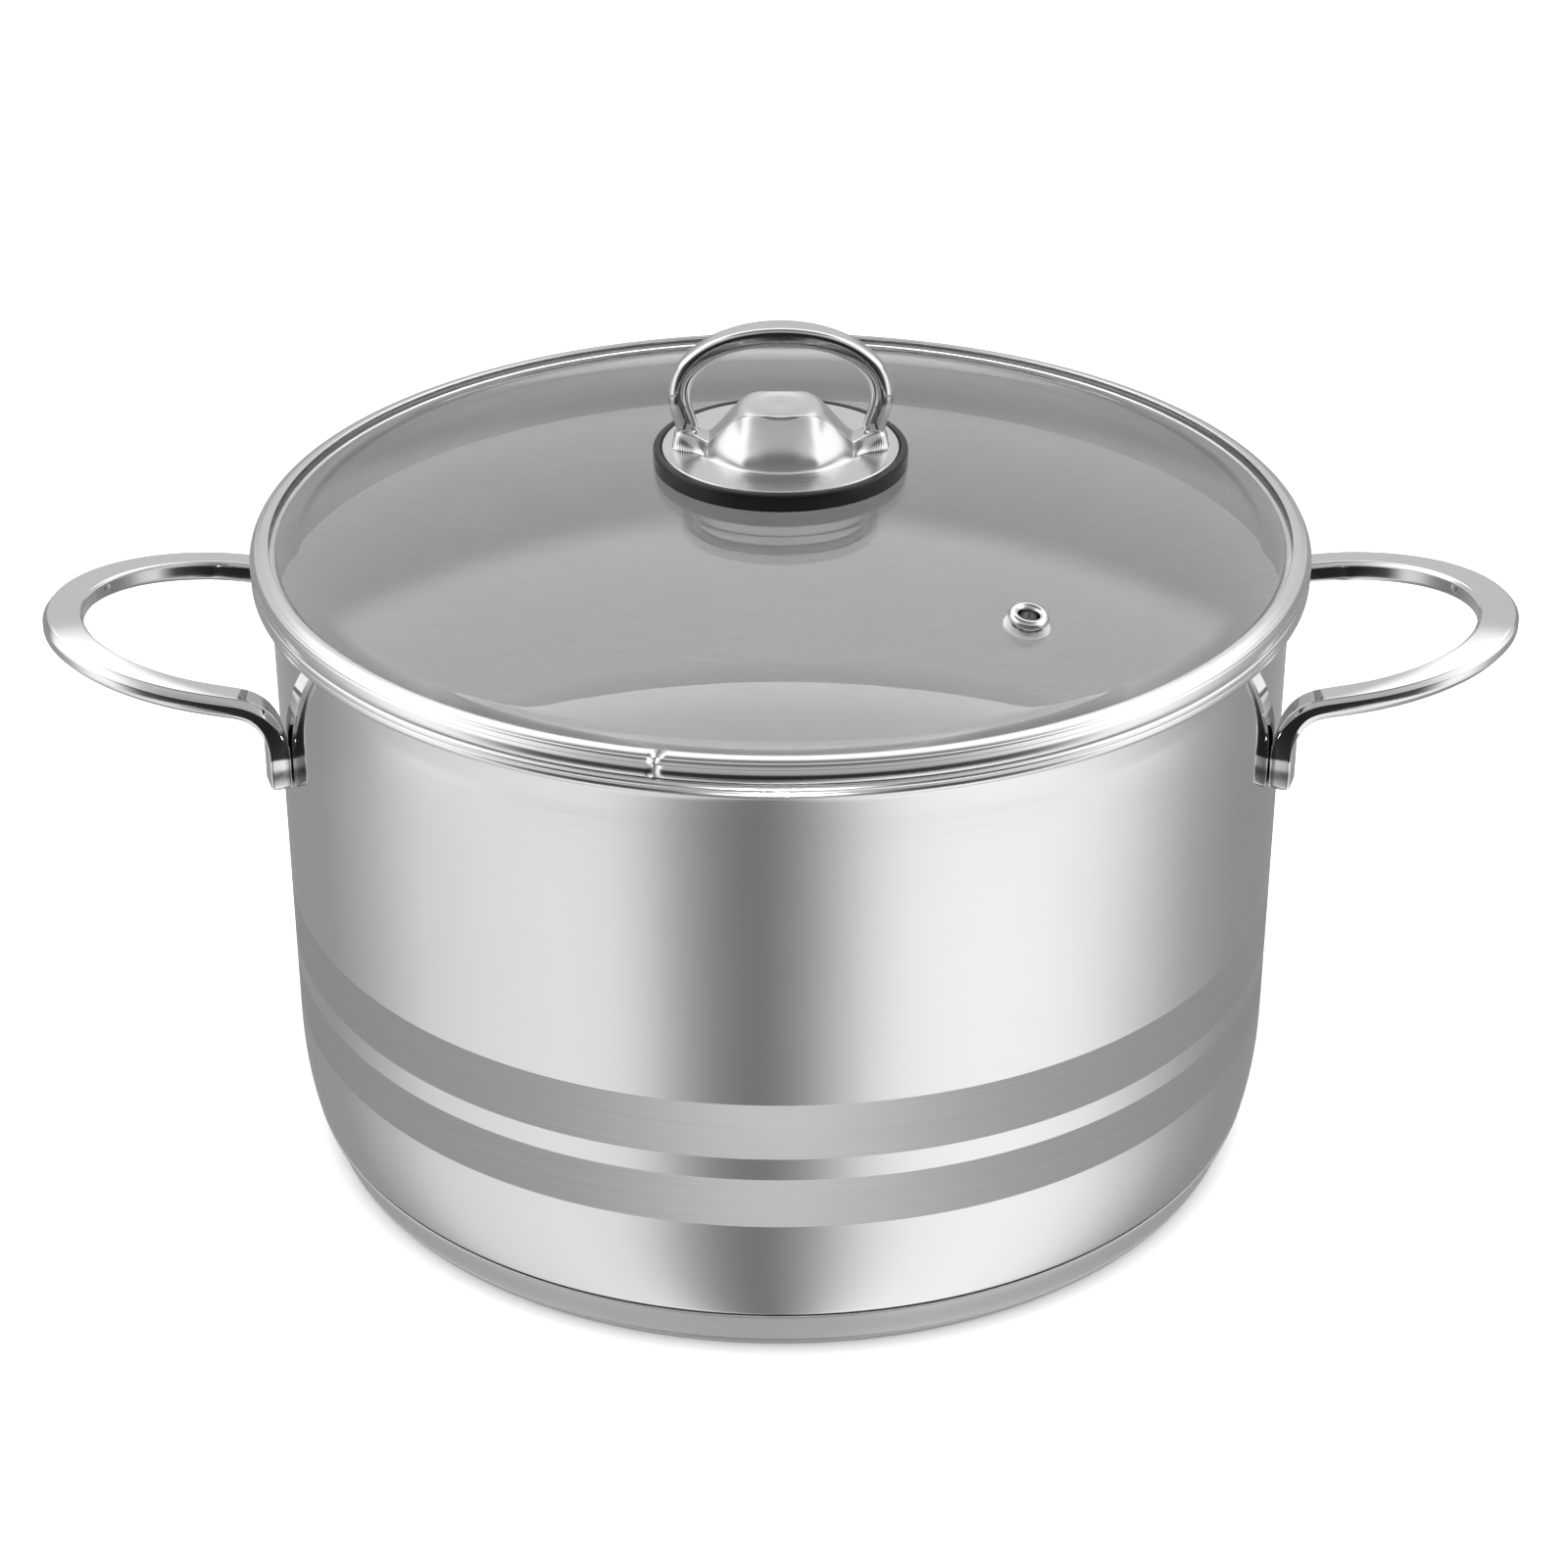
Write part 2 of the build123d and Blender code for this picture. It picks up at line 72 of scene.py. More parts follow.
def smoothThrough(points, count):
    # natural cubic spline through the points, by distance along them, sampled at equal steps
    points = np.array(points, float)
    size = len(points)
    along = np.concatenate([[0], np.cumsum(np.linalg.norm(np.diff(points[:, :3], axis=0), axis=1))])
    gap = np.diff(along)
    system = np.eye(size)
    right = np.zeros_like(points)
    inner = np.arange(1, size - 1)
    system[inner, inner - 1] = gap[:-1]
    system[inner, inner] = 2 * (gap[:-1] + gap[1:])
    system[inner, inner + 1] = gap[1:]
    slope = np.diff(points, axis=0) / gap[:, None]
    right[inner] = 6 * (slope[1:] - slope[:-1])
    curve = np.linalg.solve(system, right)
    where = np.linspace(0, along[-1], count)
    k = np.clip(np.searchsorted(along, where) - 1, 0, size - 2)
    h = gap[k][:, None]
    a = ((along[k + 1] - where)[:, None]) / h
    b = 1 - a
    bow = ((a ** 3 - a) * curve[k] + (b ** 3 - b) * curve[k + 1]) * h ** 2 / 6
    return a * points[k] + b * points[k + 1] + bow


# ---- meshes from grids

def gridQuads(rows, columns, wrapRows, wrapColumns):
    # every cell of a rows by columns grid as four corner numbers
    i, j = np.meshgrid(
        np.arange(rows if wrapRows else rows - 1),
        np.arange(columns if wrapColumns else columns - 1),
        indexing="ij",
    )
    nextI, nextJ = (i + 1) % rows, (j + 1) % columns
    corners = [i * columns + j, i * columns + nextJ, nextI * columns + nextJ, nextI * columns + j]
    return np.stack(corners, -1).reshape(-1, 4)


def putMesh(name, points, faces, faceSlots, materials):
    # points in millimetres; faces are turned round together if they enclose a negative volume
    points = np.asarray(points, float) * mm
    volume = 0.0
    for corners in {len(f) for f in faces}:
        block = np.array([f for f in faces if len(f) == corners])
        for k in range(1, corners - 1):
            a, b, c = points[block[:, 0]], points[block[:, k]], points[block[:, k + 1]]
            volume += np.einsum("ij,ij->i", a, np.cross(b, c)).sum() / 6
    if volume < 0:
        faces = [f[::-1] for f in faces]
    mesh = bpy.data.meshes.new(name)
    mesh.from_pydata(points.tolist(), [], faces)
    mesh.polygons.foreach_set("use_smooth", np.array([len(f) <= 4 for f in faces]))  # end caps stay flat
    for material in materials:
        mesh.materials.append(material)
    if faceSlots is not None:
        mesh.polygons.foreach_set("material_index", np.asarray(faceSlots, np.int32))
    mesh.update()
    piece = bpy.data.objects.new(name, mesh)
    bpy.context.scene.collection.objects.link(piece)
    return piece


def turned(name, runs, materials, closed=True, fromAngle=0.0, toAngle=360.0, segments=turns):
    # outline carried round the axis: (r cos a, r sin a, z). runs: list of (points, material number)
    outline, slots = [], []
    for points, number in runs:
        for point in points:
            if outline and np.hypot(*(point - outline[-1])) < 1e-6:
                continue
            outline.append(point)
            slots.append(number)
    if closed and np.hypot(*(outline[0] - outline[-1])) < 1e-6:
        outline.pop()
        slots.pop()
    outline = np.array(outline)
    full = abs(toAngle - fromAngle - 360) < 1e-9
    angle = np.radians(np.linspace(fromAngle, toAngle, segments, endpoint=not full))
    columns = len(angle)
    points = np.stack(
        [
            outline[:, :1] * np.cos(angle),
            outline[:, :1] * np.sin(angle),
            np.repeat(outline[:, 1:], columns, 1),
        ],
        -1,
    ).reshape(-1, 3)
    rows = len(outline)
    quads = gridQuads(rows, columns, closed, full)
    rowSlot = np.array(slots)[(quads[:, 3] // columns)]
    faces = quads.tolist()
    if not closed:  # both ends lie on the axis: each end row becomes one point
        merge = np.arange(len(points))
        merge[:columns] = 0
        merge[-columns:] = (rows - 1) * columns
        faces = [list(dict.fromkeys(f)) for f in merge[quads].tolist()]
        used = np.unique(merge)
        back = np.zeros(len(points), int)
        back[used] = np.arange(len(used))
        faces = [[int(back[v]) for v in f] for f in faces]
        points = points[used]
    faceSlots = rowSlot.tolist()
    if not full:
        first = (np.arange(rows) * columns).tolist()
        last = (np.arange(rows) * columns + columns - 1).tolist()
        faces += [first, last[::-1]]
        faceSlots += [slots[0], slots[0]]
    return putMesh(name, points, faces, faceSlots, materials)


def carried(name, centres, sides, section, materials):
    # a section carried along a line: centre + width direction * u + thickness direction * v.
    # section is the pair of arrays u and v, each with a row for every station
    tangent = np.gradient(centres, axis=0)
    tangent /= np.linalg.norm(tangent, axis=1, keepdims=True)
    side = sides - tangent * np.sum(sides * tangent, 1, keepdims=True)
    side /= np.linalg.norm(side, axis=1, keepdims=True)
    thick = np.cross(tangent, side)
    u, v = section
    points = centres[:, None] + side[:, None] * u[..., None] + thick[:, None] * v[..., None]
    rows, columns = u.shape
    faces = gridQuads(rows, columns, False, True).tolist()
    faces += [list(range(columns)), list(range((rows - 1) * columns, rows * columns))[::-1]]
    return putMesh(name, points.reshape(-1, 3), faces, None, materials)


def place(piece, body, nodes):
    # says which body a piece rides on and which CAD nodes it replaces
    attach(piece, body)
    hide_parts(*nodes)
    print("made", piece.name, len(piece.data.polygons), "faces")
    return piece


# ---- materials

class Sheet:
    # one material's node sheet, with short calls to add and link nodes
    def __init__(self, name):
        self.material = bpy.data.materials.new(name)
        self.material.use_nodes = True
        self.nodes = self.material.node_tree.nodes
        self.links = self.material.node_tree.links
        self.shader = self.nodes["Principled BSDF"]
        self.output = self.nodes["Material Output"]

    def add(self, kind, **values):
        node = self.nodes.new(kind)
        for key, value in values.items():
            if key in node.inputs:
                node.inputs[key].default_value = value
            else:
                setattr(node, key, value)
        return node

    def link(self, source, target):
        self.links.new(source, target)

    def math(self, operation, first, second=0.0):
        # one arithmetic node; each operand is a number or another node's output
        node = self.add("ShaderNodeMath", operation=operation)
        for socket, value in zip(node.inputs, (first, second)):
            if isinstance(value, (int, float)):
                socket.default_value = value
            else:
                self.link(value, socket)
        return node.outputs[0]

    def span(self, value, low, high, toLow, toHigh):
        # maps the span from low to high onto the span from toLow to toHigh, and holds it outside
        node = self.add("ShaderNodeMapRange")
        self.link(value, node.inputs["Value"])
        for key, number in zip(("From Min", "From Max", "To Min", "To Max"), (low, high, toLow, toHigh)):
            node.inputs[key].default_value = number
        return node.outputs[0]

    def objectPoint(self):
        return self.add("ShaderNodeTexCoord").outputs["Object"]

    def stretched(self, scale):
        # object coordinates times a scale for each axis
        node = self.add("ShaderNodeMapping")
        node.inputs["Scale"].default_value = scale
        self.link(self.objectPoint(), node.inputs["Vector"])
        return node.outputs[0]

    def noise(self, vector, scale, detail=2.0, roughness=0.5):
        node = self.add("ShaderNodeTexNoise", Scale=scale, Detail=detail, Roughness=roughness)
        self.link(vector, node.inputs["Vector"])
        return node.outputs["Fac"]

    def aroundLines(self, across, along):
        # lines that follow circles round the Z axis: fine steps in height plus radius, slow in plan
        split = self.add("ShaderNodeSeparateXYZ")
        self.link(self.objectPoint(), split.inputs[0])
        x, y, z = split.outputs
        squares = self.math("ADD", self.math("MULTIPLY", x, x), self.math("MULTIPLY", y, y))
        radius = self.math("SQRT", squares)
        join = self.add("ShaderNodeCombineXYZ")
        self.link(self.math("MULTIPLY", x, along), join.inputs[0])
        self.link(self.math("MULTIPLY", y, along), join.inputs[1])
        self.link(self.math("MULTIPLY", self.math("ADD", z, radius), across), join.inputs[2])
        return join.outputs[0]

    def bump(self, height, strength, distance):
        node = self.add("ShaderNodeBump", Strength=strength, Distance=distance)
        self.link(height, node.inputs["Height"])
        self.link(node.outputs[0], self.shader.inputs["Normal"])

    def tint(self, fac, dark, light):
        # base colour between two colours, by a factor
        node = self.add("ShaderNodeMix", data_type="RGBA")
        self.link(fac, node.inputs["Factor"])
        node.inputs[6].default_value = (*dark, 1)
        node.inputs[7].default_value = (*light, 1)
        self.link(node.outputs[2], self.shader.inputs["Base Color"])


def grey(level):
    # neutral steel colour with a trace of blue
    return (level, level, level * 1.008)


mirrorLook = {"tone": 0.70, "toneSpread": 0.02, "roughness": 0.05, "smear": 0.035, "hairlines": 900.0}


def mirrorSteel(name, look=mirrorLook):
    # polished sheet: nearly clear reflections, faint wiping marks and very fine hairlines
    sheet = Sheet(name)
    shader = sheet.shader
    shader.inputs["Metallic"].default_value = 1.0
    cloud = sheet.noise(sheet.objectPoint(), 38.0, 4.0, 0.6)
    hair = sheet.noise(sheet.aroundLines(look["hairlines"], 6.0), 1.0, 2.0)
    low, high = look["tone"] - look["toneSpread"], look["tone"] + look["toneSpread"]
    sheet.tint(cloud, grey(low), grey(high))
    blend = sheet.math("MULTIPLY", cloud, hair)
    rough = sheet.span(blend, 0.1, 0.45, look["roughness"], look["roughness"] + look["smear"])
    sheet.link(rough, shader.inputs["Roughness"])
    sheet.bump(hair, 0.04, 0.00002)
    return sheet.material


satinLook = {
    "tone": 0.33,
    "roughness": 0.62,
    "spread": 0.06,
    "lines": 2600.0,
    "grain": 0.05,
    "groove": 0.10,
}


def satinSteel(name, look=satinLook):
    # brushed round the axis: fine pale and dark threads along circles, with a broad soft sheen
    sheet = Sheet(name)
    shader = sheet.shader
    shader.inputs["Metallic"].default_value = 1.0
    lines = sheet.noise(sheet.aroundLines(look["lines"], 9.0), 1.0, 3.0, 0.7)
    cloud = sheet.noise(sheet.objectPoint(), 30.0, 3.0)
    sheet.tint(lines, grey(look["tone"] - look["grain"]), grey(look["tone"] + look["grain"]))
    rough = sheet.span(cloud, 0.3, 0.7, look["roughness"], look["roughness"] + look["spread"])
    sheet.link(rough, shader.inputs["Roughness"])
    sheet.bump(lines, look["groove"], 0.00004)
    return sheet.material


insideLook = {
    # tones of the painted shade by height: darker on the floor and low wall, lighter at the middle, darker
    # again near the top
    "bottomShadeTone": 0.40,
    "middleShadeTone": 0.66,
    "topShadeTone": 0.54,
    "bottomTo": 0.044,  # heights in metres
    "middleAt": 0.060,
    "topFrom": 0.10,
    "roughness": 0.7,
    "roughSpread": 0.08,
    "lines": 1300.0,
    "grain": 0.09,
    "slant": (0.47, 0.88),  # how much of y and of z the grain is counted along
}


def insideSteel(name, look=insideLook):
    # straight grain that runs across the pot, floor and wall alike; tone = painted shade by height * grain.
    # the painted shade is darkest at the bottom, lightest at the middle height and darker again towards the
    # top
    sheet = Sheet(name)
    shader = sheet.shader
    shader.inputs["Metallic"].default_value = 1.0
    split = sheet.add("ShaderNodeSeparateXYZ")
    sheet.link(sheet.objectPoint(), split.inputs[0])
    x, y, z = split.outputs
    byY, byZ = look["slant"]
    across = sheet.math("ADD", sheet.math("MULTIPLY", y, byY), sheet.math("MULTIPLY", z, byZ))
    join = sheet.add("ShaderNodeCombineXYZ")
    sheet.link(sheet.math("MULTIPLY", x, 55.0), join.inputs[0])
    sheet.link(sheet.math("MULTIPLY", across, look["lines"]), join.inputs[1])
    lines = sheet.noise(join.outputs[0], 1.0, 3.0, 0.7)
    bottomTo, middleAt, topFrom = look["bottomTo"], look["middleAt"], look["topFrom"]
    # painted shade by height: the tone rises from the bottom to the middle height and falls again towards
    # the top
    low = sheet.span(z, bottomTo, middleAt, look["bottomShadeTone"], look["middleShadeTone"])
    topShadeFade = sheet.span(z, middleAt, topFrom, 1.0, look["topShadeTone"] / look["middleShadeTone"])
    grain = sheet.span(lines, 0.25, 0.75, 1 - look["grain"], 1 + look["grain"])
    level = sheet.math("MULTIPLY", sheet.math("MULTIPLY", low, topShadeFade), grain)
    colour = sheet.add("ShaderNodeCombineColor")
    for index in range(3):
        sheet.link(level, colour.inputs[index])
    sheet.link(colour.outputs[0], shader.inputs["Base Color"])
    rough = sheet.span(lines, 0.3, 0.7, look["roughness"], look["roughness"] + look["roughSpread"])
    sheet.link(rough, shader.inputs["Roughness"])
    sheet.bump(lines, 0.1, 0.00003)
    return sheet.material


glassLook = {"tone": 0.985, "ior": 1.5, "wipe": 0.018, "shadowTone": 0.94}


def clearGlass(name, look=glassLook):
    # tempered glass; lamps shine through it, and faint wiping marks break up its gloss
    sheet = Sheet(name)
    shader = sheet.shader
    shader.inputs["Base Color"].default_value = (look["tone"], look["tone"], look["tone"], 1)
    shader.inputs["Transmission Weight"].default_value = 1.0
    shader.inputs["IOR"].default_value = look["ior"]
    wipe = sheet.noise(sheet.stretched((9, 22, 9)), 1.0, 5.0, 0.6)
    rough = sheet.span(wipe, 0.45, 0.75, 0.0, look["wipe"])
    sheet.link(rough, shader.inputs["Roughness"])
    path = sheet.add("ShaderNodeLightPath")
    clear = sheet.add("ShaderNodeBsdfTransparent")
    clear.inputs[0].default_value = (look["shadowTone"], look["shadowTone"], look["shadowTone"], 1)
    mix = sheet.add("ShaderNodeMixShader")
    sheet.link(path.outputs["Is Shadow Ray"], mix.inputs[0])
    sheet.link(shader.outputs[0], mix.inputs[1])
    sheet.link(clear.outputs[0], mix.inputs[2])
    sheet.link(mix.outputs[0], sheet.output.inputs["Surface"])
    return sheet.material


plasticLook = {
    "dark": (0.003, 0.003, 0.0032),
    "light": (0.010, 0.010, 0.0105),
    "roughness": (0.12, 0.22),
    "gloss": 0.3,
}


def blackPlastic(name, look=plasticLook):
    # moulded phenolic: deep black with a soft gloss and a trace of fine grain
    sheet = Sheet(name)
    shader = sheet.shader
    fleck = sheet.noise(sheet.objectPoint(), 2200.0, 3.0)
    cloud = sheet.noise(sheet.objectPoint(), 120.0, 2.0)
    sheet.tint(fleck, look["dark"], look["light"])
    sheet.link(sheet.span(cloud, 0.3, 0.7, *look["roughness"]), shader.inputs["Roughness"])
    shader.inputs["Specular IOR Level"].default_value = look["gloss"]
    sheet.bump(fleck, 0.15, 0.00003)
    return sheet.material


siliconeLook = {
    "dark": (0.60, 0.60, 0.57),
    "light": (0.72, 0.72, 0.70),
    "roughness": (0.45, 0.6),
    "depth": (0.002, 0.002, 0.0018),
}


def whiteSilicone(name, look=siliconeLook):
    # milky soft rubber with a dusty surface
    sheet = Sheet(name)
    shader = sheet.shader
    cloud = sheet.noise(sheet.objectPoint(), 400.0, 3.0)
    sheet.tint(cloud, look["dark"], look["light"])
    shader.inputs["Subsurface Weight"].default_value = 0.2
    shader.inputs["Subsurface Radius"].default_value = look["depth"]
    sheet.link(sheet.span(cloud, 0.3, 0.7, *look["roughness"]), shader.inputs["Roughness"])
    sheet.bump(cloud, 0.1, 0.00003)
    return sheet.material


aluminiumLook = {
    "dark": (0.55, 0.56, 0.57),
    "light": (0.68, 0.69, 0.70),
    "roughness": (0.3, 0.45),
    "lines": (2200, 60, 60),
}


def dullAluminium(name, look=aluminiumLook):
    # bare metal with fine straight lines side by side along X
    sheet = Sheet(name)
    shader = sheet.shader
    shader.inputs["Metallic"].default_value = 1.0
    lines = sheet.noise(sheet.stretched(look["lines"]), 1.0, 3.0)
    sheet.tint(lines, look["dark"], look["light"])
    sheet.link(sheet.span(lines, 0.3, 0.7, *look["roughness"]), shader.inputs["Roughness"])
    sheet.bump(lines, 0.1, 0.00003)
    return sheet.material


wallSteel = mirrorSteel("wallSteel")
fittingSteel = mirrorSteel("fittingSteel", {**mirrorLook, "tone": 0.72, "hairlines": 500.0})
softSteel = mirrorSteel("softSteel", {**mirrorLook, "tone": 0.74, "roughness": 0.16, "smear": 0.08})
hubSteel = mirrorSteel("hubSteel", {**mirrorLook, "tone": 0.72, "roughness": 0.20, "smear": 0.06})
bandSatin = satinSteel("bandSatin")
insideSatin = insideSteel("insideSatin")
capSatin = satinSteel("capSatin", {**satinLook, "tone": 0.62, "roughness": 0.5, "lines": 2100.0})
washerSteel = satinSteel("washerSteel", {**satinLook, "tone": 0.55})
paneGlass = clearGlass("paneGlass")
ringPlastic = blackPlastic("ringPlastic")
milkSilicone = whiteSilicone("milkSilicone")
plateAluminium = dullAluminium("plateAluminium")
print("materials ready")


# ---- pot body

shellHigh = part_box("pot_shell")[1] / mm
potSize = {
    "wallRadius": 120.0,
    "sheet": 0.8,
    "floorUnderside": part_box("pot_shell")[0].z / mm,
    "rimTop": shellHigh.z,
    "beadRadius": shellHigh.x,
    "taperTop": 32.0,
    "satinBands": ((36.7, 49.25), (54.7, 68.8)),
    "flare": 143.0,
    "insidePolish": 135.5,
    "footCorner": (111.45, 5.2),  # where the flat underside ends, and the corner's radius
    "floorCorner": 110.5,
}


def potShell(size=potSize):
    # sheet-metal pot: outer line up from the floor, rolled bead, then the inner line back down
    # material numbers: 0 polished, 1 satin, 2 inside, 3 softly polished rim
    wall = size["wallRadius"]
    inner = wall - size["sheet"]
    low, floor = size["floorUnderside"], size["floorUnderside"] + size["sheet"]
    bead, top = size["beadRadius"], size["rimTop"]
    taper, flare, polish = size["taperTop"], size["flare"], size["insidePolish"]
    cornerEnd, cornerRadius = size["footCorner"]
    runs = [
        (straight((0, low), (cornerEnd, low), 24), 1),
        (arc((cornerEnd, low + cornerRadius), cornerRadius, -90, -12, 12), 0),
        (bend((116.65, 10.35), (117.3, 10.75), (117.9, 11.0), (118.0, 11.5), 8), 0),
        (bend((118.0, 11.5), (119.3, 17.0), (wall, 24.0), (wall, taper), 24), 0),
    ]
    height = taper
    for bandLow, bandHigh in size["satinBands"]:
        runs.append((straight((wall, height), (wall, bandLow), 4), 0))
        runs.append((straight((wall, bandLow), (wall, bandHigh), 6), 1))
        height = bandHigh
    runs += [
        (straight((wall, height), (wall, flare), 16), 0),
        (bend((wall, flare), (wall, 145.2), (121.5, 146.0), (bead - 1.0, 146.05), 14), 0),
        (arc((bead - 1.0, 147.05), 1.0, -90, 0, 8), 3),
        (bend((bead, 147.05), (bead, 147.6), (bead - 0.1, 147.95), (bead - 0.3, 148.1), 6), 3),
        (bend((bead - 0.3, 148.1), (bead, 148.25), (bead, 148.4), (bead, 148.65), 6), 3),
        (arc((bead - 1.1, top - 1.1), 1.1, 0, 90, 10), 3),
        (straight((bead - 1.1, top), (inner + 2.2, top), 3), 3),
        (bend((inner + 2.2, top), (inner + 0.9, top - 0.1), (inner, 147.5), (inner, flare), 14), 3),
        (straight((inner, flare), (inner, polish), 4), 0),
        (straight((inner, polish), (inner, taper), 20), 2),
        (bend((inner, taper), (inner, taper - 10), (118.3, 14.0), (116.3, 10.6), 20), 2),
        (bend((116.3, 10.6), (115.2, 8.0), (113.5, floor), (size["floorCorner"], floor), 14), 2),
        (straight((size["floorCorner"], floor), (0, floor), 40), 2),
    ]
    shell = turned("potShell", runs, [wallSteel, bandSatin, insideSatin, softSteel], closed=False)
    return place(shell, "pot", ["pot_shell"])


capSize = {
    "foot": 114.3,
    "footRounding": 1.7,
    "top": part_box("base_cap")[1].z / mm,
    "topRadius": 117.75,
    "lip": 0.25,
    "recess": 96.0,
    "recessDepth": 0.4,
    "sheet": 0.6,
}


def baseCap(size=capSize):
    # thin capsule: recessed underside, round foot, leaning side, open on top
    foot, recess, depth, rounding = size["foot"], size["recess"], size["recessDepth"], size["footRounding"]
    outer, lip = size["topRadius"], size["lip"]
    sideTop = size["top"] - lip
    flatEnd = foot - rounding
    inside = depth + size["sheet"]
    runs = [
        (straight((0, depth), (recess, depth), 20), 0),
        (bend((recess, depth), (recess + 1, depth), (recess + 1, 0), (recess + 2, 0), 8), 0),
        (straight((recess + 2, 0), (flatEnd, 0), 6), 0),
        (arc((flatEnd, rounding), rounding, -90, -12, 10), 0),
        (bend((foot - 0.04, 1.35), (foot + 0.8, 4.5), (117.2, 7.8), (outer, sideTop), 16), 0),
        (arc((outer - lip, sideTop), lip, 0, 180, 7), 0),
        (bend((outer - 2 * lip, sideTop), (116.5, 7.8), (foot + 0.2, 4.5), (foot - 0.7, 1.6), 10), 0),
        (arc((flatEnd, 1.9), 0.95, -12, -90, 6), 0),
        (straight((flatEnd, inside), (0, inside), 10), 0),
    ]
    cap = turned("baseCap", runs, [capSatin], closed=False)
    return place(cap, "pot", ["base_cap"])


shell = potShell()
baseCap()


# ---- side handles

handleSize = {
    "centreX": 128.0,
    "reach": 42.9,
    "halfWidth": 36.4,
    "tipHeight": 130.6,
    "rise": 0.14,
    "legAngle": 18.2,
    "legRadius": 122.6,
    "legLow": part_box("right_handle")[0].z / mm + 1.3,
    "legTop": 113.5,
    "bend": 9.5,
    "tipSection": (9.6, 4.5),
    "armSection": (7.4, 5.2),
    "legSection": (7.4, 5.0),
    # half sections as (outwards, up), both from -1 to 1, going round: the loop's and the legs'
    "corners": (
        (-0.86, 1.0), (0.72, 1.0), (1.0, 0.30), (1.0, -0.55),
        (0.78, -1.0), (-0.8, -1.0), (-1.0, -0.6), (-1.0, 0.62),
    ),
    "legCorners": (
        (-0.9, 1.0), (0.9, 1.0), (1.0, 0.8), (1.0, -0.8),
        (0.9, -1.0), (-0.9, -1.0), (-1.0, -0.8), (-1.0, 0.8),
    ),
    "easing": 0.10,
    # the legs' section holds from 18 mm below the tip; the ends are rounded over a share of the length
    "legFrom": 8.0,
    "legOver": 10.0,
    "endShare": 0.004,
    "endWidth": 0.82,
    "stations": 260,
}


def handleStations(size):
    # one half of the +X loop, foot to tip: centre (3), width direction (3), width, thickness
    turn = math.radians(size["legAngle"])
    legX, legY = size["legRadius"] * math.cos(turn), -size["legRadius"] * math.sin(turn)
    alongWall = np.array([-math.sin(turn), -math.cos(turn), 0])
    armSide = np.array([0, -1, 0])
    leg, arm, tip = (np.array(size[k]) for k in ("legSection", "armSection", "tipSection"))
    tipX = size["centreX"] + size["reach"]

    def height(x):
        return size["tipHeight"] - size["rise"] * (tipX - x)

    rows = []
    for share in (0, 0.35, 0.7, 1):
        z = size["legLow"] + (size["legTop"] - size["legLow"]) * share
        rows.append([legX, legY, z, *alongWall, *leg])
    rise = height(legX + size["bend"]) - size["legTop"]
    for share in (1 / 3, 2 / 3):
        angle = math.pi / 2 * share
        x = legX + size["bend"] * (1 - math.cos(angle))
        y = legY + (-size["halfWidth"] - legY) * share
        side = alongWall * (1 - share) + armSide * share
        rows.append([x, y, size["legTop"] + rise * math.sin(angle), *side, *(leg + (arm - leg) * share)])
    for step in (90, 76, 62, 48, 32, 16, 0):
        angle = math.radians(step)
        x = size["centreX"] + size["reach"] * math.cos(angle)
        y = -size["halfWidth"] * math.sin(angle)
        side = np.array([size["halfWidth"] * math.cos(angle), -size["reach"] * math.sin(angle), 0])
        side = side / np.linalg.norm(side)
        section = arm + (tip - arm) * math.cos(angle) ** 2
        rows.append([x, y, height(x), *side, *section])
    return np.array(rows)


def barSection(widths, thicknesses, legness, size=handleSize):
    # eight-sided: flat faces joined by small arcs, passing from the loop's corners to the legs' corners.
    # each corner is a share of half the width and half the thickness, cut back by a small easing
    share = legness[:, None, None]
    corners = np.array(size["corners"]) * (1 - share) + np.array(size["legCorners"]) * share
    toBack = np.roll(corners, 1, axis=1) - corners
    toNext = np.roll(corners, -1, axis=1) - corners
    toBack /= np.linalg.norm(toBack, axis=2, keepdims=True)
    toNext /= np.linalg.norm(toNext, axis=2, keepdims=True)
    t = np.linspace(0, 1, 7)[None, None, :, None]
    here = corners[:, :, None]
    start = here + toBack[:, :, None] * size["easing"]
    end = here + toNext[:, :, None] * size["easing"]
    ring = (start * (1 - t) ** 2 + 2 * here * t * (1 - t) + end * t ** 2).reshape(len(widths), -1, 2)
    return 0.5 * widths[:, None] * ring[..., 0], 0.5 * thicknesses[:, None] * ring[..., 1]


def sideHandle(name, sign, node, size=handleSize):
    # the half is mirrored in Y, smoothed, and mirrored in X for the left handle
    half = handleStations(size)
    back = half[-2::-1] * np.array([1, -1, 1, 1, -1, 1, 1, 1])
    path = smoothThrough(np.concatenate([half, back]), size["stations"])
    path = path * np.array([sign, 1, 1, sign, 1, 1, 1, 1])
    share = np.linspace(0, 1, len(path))
    fromEnd = np.clip(np.minimum(share, 1 - share) / size["endShare"], 0, 1)
    rounding = size["endWidth"] + (1 - size["endWidth"]) * np.sqrt(1 - (1 - fromEnd) ** 2)
    legness = np.clip((size["tipHeight"] - size["legFrom"] - path[:, 2]) / size["legOver"], 0, 1)
    section = barSection(path[:, 6] * rounding, path[:, 7] * rounding, legness)
    piece = carried(name, path[:, :3], path[:, 3:6], section, [fittingSteel])
    return place(piece, "pot", [node])


sideHandle("rightHandle", 1, "right_handle")
sideHandle("leftHandle", -1, "left_handle")


# ---- lid: glass, band and steam vent

